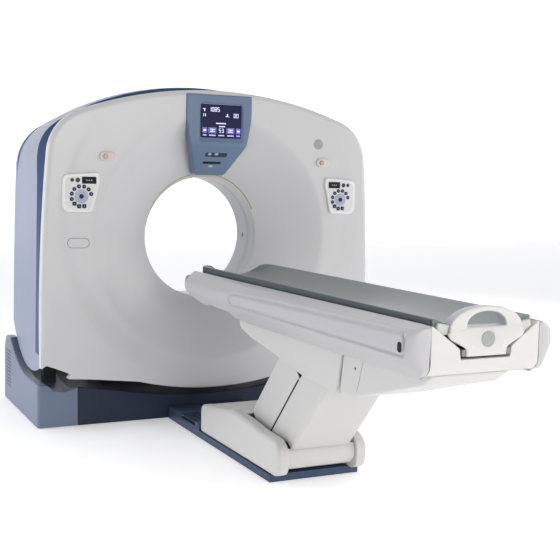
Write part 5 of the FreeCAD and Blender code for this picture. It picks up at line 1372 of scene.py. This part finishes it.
def armCover(name, pivot, half, reach, low, high):
    # a U section with rounded edges, swept along the arm between its two end shapes
    web, free = reach
    way = np.sign(free - web)
    r = arms["edge"]
    turn = np.linspace(0, math.pi / 2, 7)
    side = np.stack([np.full(24, half), np.linspace(free, web + way * r, 24)], -1)
    corner = np.stack([half - r + r * np.cos(turn), web + way * (r - r * np.sin(turn))], -1)
    right = np.vstack([side, corner[1:]])
    middle = np.stack([np.linspace(half - r, r - half, 16)[1:-1], np.full(14, web)], -1)
    path = np.vstack([right, middle, (right * [-1, 1])[::-1]])
    rise = path[:, 1]
    share = np.linspace(0, 1, 30)[:, None]
    lowRun, highRun = np.interp(rise, *low), np.interp(rise, *high)
    run = lowRun + (highRun - lowRun) * share
    grid = armPlace(pivot, path[:, 0] + 0 * share, run, rise + 0 * share)
    inside = way * np.array([0.0, math.sin(arms["angle"]), math.cos(arms["angle"])])
    return makeObject(name, *thickened(grid, arms["wall"], inside), crease=40)


def armCovers():
    a = arms
    for which in ("front", "rear"):
        settings = [a[which + key] for key in ("", "Half", "Reach", "Low", "High")]
        dress(armCover(which + "ArmCover", *settings), "tableWhite", which + "_arm_cover")
    run = np.array(a["seamRun"] + a["seamRun"][::-1])
    rise = np.repeat(a["seamRise"], 2)
    strips = []
    for side in (-1, 1):
        rows = [armPlace(a["rear"], side * (a["rearHalf"] + lift), run, rise) for lift in (-0.001, 0.0004)]
        strips.append(fromRows(rows))
    dress(merged("armSeam", strips), "darkGap", "rear_arm_cover", adds=True)
    # the cover across the front arm's foot: part of a tube with rolled ends
    turn = np.linspace(math.pi + a["crossOpen"], 2 * math.pi - a["crossOpen"], 40)
    bend = np.linspace(0, math.pi / 2, 5)
    across = a["crossHalf"] - a["crossRound"] * (1 - np.sin(bend))
    drop = a["crossRound"] * (1 - np.cos(bend))
    x = np.concatenate([-across[::-1], across])[:, None] + 0 * turn
    radius = a["crossRadius"] - np.concatenate([drop[::-1], drop])[:, None]
    grid = armPlace(a["front"], x, radius * np.cos(turn), radius * np.sin(turn))
    axis = np.array([0.0, *a["front"]])
    made = makeObject("crossCover", *thickened(grid, a["crossWall"], axis - grid[5, 20]), crease=40)
    dress(made, "tableWhite", "cross_cover")


armCovers()
print("table foot and arms made")


rail = {
    "nearSection": [(0.236, 0.706), (0.246, 0.704), (0.292, 0.756), (0.322, 0.806), (0.319, 0.868),
                    (0.300, 0.887), (0.268, 0.897), (0.2405, 0.902), (0.236, 0.902)],
    "farSection": [(0.236, 0.706), (0.246, 0.704), (0.292, 0.756), (0.322, 0.800), (0.319, 0.838),
                   (0.300, 0.858), (0.268, 0.884), (0.2405, 0.893), (0.236, 0.893)],
    "radii": [0.0, 0.008, 0.090, 0.050, 0.028, 0.012, 0.012, 0.002, 0.0],
    "near": -2.860,
    "nearRound": 0.055,
    "far": -0.642,
    "farRound": 0.105,
    # rows along the rail: from, to and how many, close together where its shape changes
    "stretches": ((-2.803, -2.72, 24), (-2.72, -1.38, 70), (-1.38, -1.19, 50), (-1.19, -0.76, 60)),
    "blendFrom": -2.82,
    "blendOver": 1.6,
    "nearPower": 2.3,
    "noseWidth": 0.018,
    "innerX": 0.236,
    "outerX": 0.322,
    "grooveFrom": -1.290,
    "grooveTo": -2.812,
    "grooveWidth": 0.0062,
    "grooveDepth": 0.0115,
    "grooveTop": (0.874, 0.842),
    "grooveBottom": 0.789,
    "grooveCorner": 0.030,
    "recess": 0.0030,
    "noseSeam": -1.186,
    "seamWidth": 0.003,
    "seamDepth": 0.0028,
    "lineDepth": 0.0030,
    "lineWidth": 0.0030,
    "lineAbove": 0.0080,
    "bottomRound": 0.050,
    "bottomFrom": 0.765,
    "underY": (-2.9, -1.40, -1.33, -1.225, -1.208, -1.08, -1.01, -0.940, -0.922, -0.846, -0.755, -0.685,
               -0.655, -0.60),
    "underZ": (0.700, 0.702, 0.705, 0.714, 0.738, 0.742, 0.747, 0.745, 0.731, 0.748, 0.778, 0.836,
               0.868, 0.880),
}
topCovers = {
    "bellyHalf": 0.2355,
    "bellyTop": 0.770,
    "bellyRise": 0.0015,
    "bellyStretches": ((-1.20, -0.80, 40), (-0.80, -0.764, 6)),
    "nearSection": [(0.2352, 0.7145), (0.2352, 0.8985), (0.2275, 0.8985), (0.1120, 0.8150), (0.1075, 0.7770)],
    "nearRadii": [0.0, 0.003, 0.008, 0.014, 0.006],
    "nearBack": -2.806,
    "port": (-2.790, 0.822),
    "portHalf": (0.0185, 0.011),
    "portX": 0.3120,
    "portDepth": 0.0085,
}


def underside(y):
    return np.interp(y, rail["underY"], rail["underZ"])


def endRoll(z):
    # how far the near end face is drawn back towards its bottom edge
    return rolled(z - rail["bottomFrom"] + rail["bottomRound"], rail["bottomRound"])


def railRows(side):
    # the rail's section at each row, blended from its near to its far shape, with the groove, the seams and
    # the rounded ends worked into it
    c = rail
    near = walk(rounded(c["nearSection"], c["radii"], 8), 150)
    far = walk(rounded(c["farSection"], c["radii"], 8), 150)
    turn = np.linspace(0, math.pi / 2, 14)
    nearEnd = c["near"] + c["nearRound"] * (1 - np.cos(turn))
    farEnd = c["far"] - c["farRound"] * (1 - np.sin(turn))
    stretches = [np.linspace(*stretch) for stretch in c["stretches"]]
    across = c["outerX"] - c["innerX"]
    rows = []
    for y in np.unique(np.concatenate([nearEnd, *stretches, farEnd]).round(6)):
        share = np.clip((y - c["blendFrom"]) / c["blendOver"], 0, 1)
        loop = near * (1 - share) + far * share
        x, z = loop[:, 0], loop[:, 1]
        # the groove is a bell across its line, and the face inside it lies a little deeper
        top = c["grooveTop"][0] + (c["grooveTop"][1] - c["grooveTop"][0]) * share
        middle = ((c["grooveFrom"] + c["grooveTo"]) / 2, (top + c["grooveBottom"]) / 2)
        half = ((c["grooveFrom"] - c["grooveTo"]) / 2, (top - c["grooveBottom"]) / 2)
        off = roundRect(y + 0 * z, z, middle, half, c["grooveCorner"])
        cut = c["grooveDepth"] * np.exp(-(off / c["grooveWidth"]) ** 2) + c["recess"] * ease(-off / 0.006)
        x = x - cut * (x > 0.285)
        # so are the line above the groove and the seam of the nose
        line = c["lineDepth"] * np.exp(-((z - top - c["lineAbove"]) / c["lineWidth"]) ** 2) * (x > 0.29)
        seam = c["seamDepth"] * math.exp(-((y - c["noseSeam"]) / c["seamWidth"]) ** 2)
        x = x - line * ease((c["noseSeam"] - y) / 0.03) - seam * (x > 0.25)
        # a superellipse narrows the near end, and a quarter ellipse the far one
        toNear = np.clip((c["near"] + c["nearRound"] - y) / c["nearRound"], 0, 1)
        toFar = np.clip((y - c["far"] + c["farRound"]) / c["farRound"], 0, 1)
        if toNear > 0:
            wide = across * ((1 - toNear ** c["nearPower"]) ** (1 / c["nearPower"]) * 0.94 + 0.06)
        else:
            wide = c["noseWidth"] + (across - c["noseWidth"]) * math.sqrt(max(1 - toFar ** 2, 0))
        x = c["innerX"] + (x - c["innerX"]) * wide / across
        roll = 0.012 * (1 - math.sqrt(1 - toNear ** 2)) + 0.006 * (1 - math.sqrt(max(1 - toFar ** 4, 0)))
        z = np.minimum(z, z.max() - roll)
        z = softMax(z, underside(y) + 0 * z, 0.0022)
        rows.append(np.stack([side * x, np.maximum(y, c["near"] + endRoll(z)), z], -1))
    return np.array(rows)


def tableTop():
    c = rail
    t = topCovers
    made = merged("sideRails", [fromRows(railRows(side)) for side in (-1, 1)])
    # the rails' darker white is painted shade
    dress(made, "railWhiteShaded", "side_rails", "nose_cap")
    rows = []
    for y in np.unique(np.concatenate([np.linspace(*stretch) for stretch in t["bellyStretches"]]).round(9)):
        low = underside(y) + t["bellyRise"]
        corners = bothSides([(t["bellyHalf"], low), (t["bellyHalf"], t["bellyTop"])])
        rows.append([(x, y, z) for x, z in corners])
    dress(makeObject("bellyCover", *fromRows(rows)), "tableWhite", "nose_cap", adds=True)
    loop = walk(rounded(bothSides(t["nearSection"]), t["nearRadii"] + t["nearRadii"][::-1], 6), 420)
    front = np.array(prismRows("XZ", loop, c["near"], t["nearBack"], 0.0035))
    drawn = c["near"] + endRoll(front[..., 2]) + (front[..., 1] - c["near"]) * 0.5
    front[..., 1] = np.maximum(front[..., 1], drawn)
    dress(makeObject("nearEndCover", *fromRows(front), crease=40), "tableWhite", "near_end_cover")
    # the ports are dark ovals sunk in the flanks: painted shade in the openings
    loop = stadium(0, 0, *t["portHalf"], 40)[:, ::-1] + t["port"]
    ports = [slab("YZ", loop, side * t["portX"] - t["portDepth"], side * t["portX"] + t["portDepth"])
             for side in (-1, 1)]
    dress(merged("railPortShades", ports), "darkGap", "side_rails", adds=True)


hopper = {
    "half": 0.175,
    "wall": 0.007,
    "outline": [(-1.110, 0.7150), (-1.110, 0.652), (-1.240, 0.617), (-1.390, 0.596), (-1.540, 0.572),
                (-1.800, 0.528), (-2.105, 0.508), (-2.150, 0.7150)],
    "radii": [0.0, 0.030, 0.20, 0.30, 0.50, 0.60, 0.050, 0.0],
    "endWall": [(-2.150, 0.7150), (-2.104, 0.509), (-2.097, 0.511), (-2.143, 0.7150)],
    "tail": [(-2.1515, 0.7150), (-2.118, 0.514), (-2.240, 0.521), (-2.480, 0.591), (-2.620, 0.632),
             (-2.715, 0.658), (-2.778, 0.700), (-2.782, 0.7150)],
    "tailRadii": [0.0, 0.020, 0.16, 0.50, 0.50, 0.10, 0.010, 0.0],
    "tailHalf": 0.169,
    # seam: a dark strip along each cheek just under the rail's bottom edge, painted shadow in the gap under
    # the rail
    "seam": [(-1.116, 0.6975), (-2.139, 0.6945), (-2.140, 0.7000), (-1.116, 0.7030)],
    "tailSeam": [(-2.262, 0.548), (-2.2632, 0.548), (-2.3162, 0.714), (-2.315, 0.714)],
    "screw": (-2.245, 0.640, 0.006),
}


def hopperCovers():
    h = hopper
    loop = walk(rounded(h["outline"], h["radii"], 10), 260)
    cheek = np.array(prismRows("YZ", loop, h["half"] - h["wall"], h["half"], 0.0, 0.005, 5))
    parts = [fromRows(cheek * [side, 1, 1]) for side in (-1, 1)]
    parts.append(slab("YZ", np.array(h["endWall"]), -h["half"] + h["wall"], h["half"] - h["wall"]))
    dress(merged("hopperCover", parts), "tableWhite", "hopper_cover")
    tail = walk(rounded(h["tail"], h["tailRadii"], 10), 240)
    made = prism("tailFairing", "YZ", tail, -h["tailHalf"], h["tailHalf"], 0.009, 0.009, 6)
    dress(made, "tableWhite", "tail_fairing")
    lines = []
    screws = []
    for side in (-1, 1):
        low, high = sorted((side * (h["half"] - 0.001), side * (h["half"] + 0.0006)))
        # painted shadow under the rail's edge, and the tail's seam line
        lines.append(slab("YZ", np.array(h["seam"]), low, high))
        low, high = sorted((side * (h["tailHalf"] - 0.001), side * (h["tailHalf"] + 0.0004)))
        lines.append(slab("YZ", np.array(h["tailSeam"]), low, high))
        screws.append(slab("YZ", circle(*h["screw"], 24), low, side * 0.0006 + high))
    dress(merged("hopperSeamsAndShadow", lines), "darkGap", "hopper_cover", adds=True)
    dress(merged("tailScrews", screws), "capGrey", "tail_fairing", adds=True)


tableTop()
hopperCovers()
print("table top made")


cradle = {
    "half": 0.212,
    "rim": 0.009,
    "top": 0.921,
    "dip": 0.050,
    "near": -2.832,
    "far": -0.652,
    "cornerRadius": 0.060,
    "under": [(0.212, 0.884), (0.172, 0.858), (0.112, 0.846)],
    "underRadii": [0.004, 0.006, 0.02, 0.05],
    "strip": [(0.2122, 0.8855), (0.219, 0.8855), (0.219, 0.9195), (0.2122, 0.9195)],
    "stripY": (-2.822, -0.715),
    "slot": (-0.105, -2.812),
    "slotHalf": (0.016, 0.0045),
    "slotZ": (0.8815, 0.8895),
}


def cradleBody():
    # a parabolic trough over an underside with soft corners, its far end rounded in plan
    c = cradle
    w = c["half"]
    inner = w - c["rim"]
    x = np.linspace(-inner, inner, 61)
    trough = np.stack([x, c["top"] - c["dip"] * (1 - (x / inner) ** 2)], -1)
    under = bothSides([(w, c["top"])] + c["under"])
    loop = np.vstack([trough, rounded(under, c["underRadii"] + c["underRadii"][::-1], 6)])
    turn = np.linspace(0, math.pi / 2, 9)
    ys = np.concatenate([[c["near"], c["near"] + 0.001],
                         np.linspace(c["near"] + 0.003, c["far"] - c["cornerRadius"], 50),
                         c["far"] - c["cornerRadius"] * (1 - np.sin(turn[1:]))])
    rows = []
    for y in ys:
        t = np.clip((y - c["far"] + c["cornerRadius"]) / c["cornerRadius"], 0, 1)
        narrow = w - c["cornerRadius"] * (1 - math.sqrt(1 - t ** 2))
        pinch = 0.003 * ease((y - c["far"] + 0.006) / 0.006) + 0.001 * ease((c["near"] + 0.001 - y) / 0.001)
        z = loop[:, 1] + np.where(loop[:, 1] > 0.87, -pinch, pinch)
        rows.append(np.stack([loop[:, 0] * narrow / w, np.full(len(loop), y), z], -1))
    dress(makeObject("cradleBody", *fromRows(rows), crease=32), "cradleGrey", "cradle")
    strips = []
    for side in (-1, 1):
        loop = walk(rounded(np.array(c["strip"]) * [side, 1], 0.0022), 48)
        strips.append(slab("XZ", loop, *c["stripY"], 0.002, 3))
    dress(merged("cradleStrips", strips), "stripSlate", "cradle_strips")
    # the slot is a dark fill: painted shade in the opening
    loop = stadium(0, 0, *c["slotHalf"], 32) @ np.array([[0.35, -0.94], [0.94, 0.35]]) + c["slot"]
    dress(merged("cradleSlotShade", [slab("XY", loop, *c["slotZ"])]), "darkGap", "cradle", adds=True)


handle = {
    "front": -2.866,
    "thickness": 0.016,
    "half": 0.160,
    "foot": 0.873,
    "top": 0.9640,
    "power": 2.15,
    # left half of the plate below the arch, from its top corner down, and the radii of its corners
    "plate": [(-0.1700, 0.873), (-0.1560, 0.8500), (-0.1050, 0.8240), (-0.0890, 0.8140), (-0.0870, 0.7860)],
    "plateRadii": [0.004, 0.02, 0.03, 0.006, 0.004],
    "holeHalf": 0.086,
    "holeFoot": 0.892,
    "holeTop": 0.9445,
    "middle": 0.915,
    "flatness": 1.9,
    "edge": 0.0065,
    "setBack": 0.004,
    "back": -2.812,
    "badge": (0.003, 0.846, 0.029),
    "screwX": (-0.064, 0.072),
    "screwZ": 0.8245,
    "screwRadius": 0.0075,
    "pad": [(0.0895, 0.7875), (0.1045, 0.7875), (0.1055, 0.812), (0.0900, 0.812)],
}


def archLoop(half, foot, top, count):
    # half of a superellipse standing on a flat foot
    a = np.linspace(0, math.pi, count)
    power = 2 / handle["power"]
    x = half * np.sign(np.cos(a)) * np.abs(np.cos(a)) ** power
    return np.stack([x, foot + (top - foot) * np.sin(a) ** power], -1)


def ringBetween(outer, inner, low, high, edge, steps):
    # a plate between two outlines of equal count, all four edges rolled
    turn = np.linspace(0, math.pi / 2, steps + 1)
    rings = []
    for loop, across in ((outer, inward(outer)), (inner, -inward(inner))):
        front = [rolledRow("XZ", loop, across, low, edge, a) for a in turn]
        rings.append(front + [rolledRow("XZ", loop, across, high, -edge, a) for a in turn[::-1]])
    return fromRows(rings[0] + rings[1][::-1], looped=True)


def cradleHandle():
    h = handle
    low, high = h["front"], h["front"] + h["thickness"]
    arch = archLoop(h["half"], h["foot"], h["top"], 90)
    plate = rounded(bothSides(h["plate"]), h["plateRadii"] + h["plateRadii"][::-1], 5)
    outer = anticlockwise(walk(np.vstack([arch, plate]), 240))
    hole = rounded(archLoop(h["holeHalf"], h["holeFoot"], h["holeTop"], 60), 0.004, 3)
    hole = anticlockwise(walk(hole, 400))
    # each point of the plate's edge gets the hole's point in the same direction from the middle
    angle, holeAngle = [np.arctan2(p[:, 1] - h["middle"], p[:, 0] / h["flatness"]) for p in (outer, hole)]
    order = np.argsort(holeAngle)
    inner = [np.interp(angle, holeAngle[order], hole[order, k], period=2 * math.pi) for k in (0, 1)]
    points, faces = ringBetween(outer, np.stack(inner, -1), low, high, h["edge"], 5)
    setBack = h["setBack"] * ease((points[:, 2] - h["foot"] - 0.006) / 0.012)
    points[:, 1] += setBack * (points[:, 1] < low + 0.009)
    dress(makeObject("cradleHandle", points, faces, crease=50), "tableWhite", "cradle_handle")
    bow = archLoop(h["half"] - 0.003, h["foot"], h["top"] - 0.003, 120)
    grip = archLoop(h["holeHalf"] + 0.002, h["holeFoot"], h["holeTop"] + 0.002, 120)
    bow, grip = [anticlockwise(walk(loop, 200)) for loop in (bow, grip)]
    made = makeObject("handleBow", *ringBetween(bow, grip, low + 0.010, h["back"], 0.003, 3), crease=50)
    dress(made, "bowGrey", "cradle_handle", adds=True)
    badge = slab("XZ", circle(*h["badge"], 56), low - 0.0012, low + 0.003, 0.0005)
    dress(merged("handleBadge", [badge]), "blankDisc", "handle_fittings")
    screws = [slab("XZ", circle(x, h["screwZ"], h["screwRadius"], 28), low - 0.0006, low + 0.003, 0.0006)
              for x in h["screwX"]]
    dress(merged("handleScrews", screws), "panelGrey", "handle_fittings", adds=True)
    pads = []
    for side in (-1, 1):
        loop = walk(rounded(np.array(h["pad"]) * [side, 1], 0.002), 40)
        pads.append(slab("XZ", loop, low + 0.004, high, 0.001))
    dress(merged("handlePads", pads), "padGrey", "handle_fittings", adds=True)
    softCopy("endBlocks", "end_blocks", "blockGrey", 0.003, 3)


cradleBody()
cradleHandle()
print("cradle made")


view = {
    # place in m, angles in degrees, focal length and width of the picture in pixels
    "place": (-2.2274, -5.7165, 1.3888),
    "yaw": 26.26,
    "pitch": 5.65,
    "roll": 1.285,
    "focal": 1016.0,
    "image": 560.0,
}


stage = {
    "floorGlow": 0.40,
    "wallGlow": 0.75,
    "world": 0.25,
    "size": 60.0,
    "wallY": 14.0,
}


def makeCamera():
    # looks along +Y, turned by yaw toward +X, pitched down, then rolled about its own axis
    yaw, pitch, roll = [math.radians(view[k]) for k in ("yaw", "pitch", "roll")]
    ahead = Vector((math.sin(yaw) * math.cos(pitch), math.cos(yaw) * math.cos(pitch), -math.sin(pitch)))
    right = Vector((math.cos(yaw), -math.sin(yaw), 0.0))
    up = right.cross(ahead)
    rolledRight = math.cos(roll) * right + math.sin(roll) * up
    rolledUp = math.cos(roll) * up - math.sin(roll) * right
    data = bpy.data.cameras.new("camera")
    data.sensor_width = 36.0
    data.lens = view["focal"] / view["image"] * 36.0
    data.clip_end = 200.0
    made = bpy.data.objects.new("camera", data)
    turned = Matrix((rolledRight, rolledUp, -ahead)).transposed().to_4x4()
    made.matrix_world = Matrix.Translation(Vector(view["place"])) @ turned
    bpy.context.scene.collection.objects.link(made)
    bpy.context.scene.camera = made


def makeFloor():
    # pale floor and a pale wall far behind, both glowing a little, so the object stands on white
    size, wall = stage["size"], stage["wallY"]
    floor = [(-size, -size, 0), (size, -size, 0), (size, wall, 0), (-size, wall, 0)]
    back = [(-size, wall, 0), (size, wall, 0), (size, wall, size), (-size, wall, size)]
    for name, corners, glow in (("floor", floor, stage["floorGlow"]), ("backdrop", back, stage["wallGlow"])):
        made = makeObject(name, corners, [(0, 1, 2, 3)], closed=False)
        paint = Finish(name + "Paint", Roughness=0.8, Emission_Strength=glow)
        # tone = 0.86 to 0.88 grey by a slow noise, shown and glowing
        shown = paint.blend(paint.noise(0.4, 2.0), tint(0.86, 0.86, 0.865), tint(0.88, 0.88, 0.885))
        paint.shade(Base_Color=shown, Emission_Color=shown)
        made.data.materials.append(paint.material)


def makeLight(name, spot, target, size, power, colour):
    data = bpy.data.lights.new(name, "AREA")
    data.shape = "RECTANGLE"
    data.size, data.size_y = size
    data.energy = power
    data.color = colour
    made = bpy.data.objects.new(name, data)
    made.location = spot
    made.rotation_mode = "QUATERNION"
    made.rotation_quaternion = (Vector(target) - Vector(spot)).to_track_quat("-Z", "Y")
    bpy.context.scene.collection.objects.link(made)


lights = {
    # place, target, width and height, power, colour
    "overhead": ((0.0, -0.5, 5.5), (0.0, -0.5, 0.0), (5.0, 5.0), 40.0, (1.0, 1.0, 1.0)),
    "leftRim": ((-4.2, 0.3, 1.4), (-0.6, -0.6, 0.9), (2.0, 2.4), 58.0, (0.97, 0.98, 1.0)),
    "rightFill": ((5.5, -4.0, 2.3), (0.0, -0.3, 1.1), (4.0, 3.0), 90.0, (1.0, 0.99, 0.98)),
    "frontKey": ((0.2, -7.2, 2.4), (0.2, -2.2, 0.8), (4.0, 2.4), 150.0, (1.0, 0.985, 0.955)),
    "rearRight": ((6.5, 1.0, 2.0), (0.9, -0.2, 1.0), (3.0, 3.0), 120.0, (1.0, 0.99, 0.98)),
}

makeCamera()
makeFloor()
for name, settings in lights.items():
    makeLight(name, *settings)
world = bpy.data.worlds.new("studio")
world.use_nodes = True
world.node_tree.nodes["Background"].inputs["Color"].default_value = (0.94, 0.95, 0.97, 1.0)
world.node_tree.nodes["Background"].inputs["Strength"].default_value = stage["world"]
bpy.context.scene.world = world
bpy.context.scene.view_settings.view_transform = "Standard"
print("camera, floor and lights made")
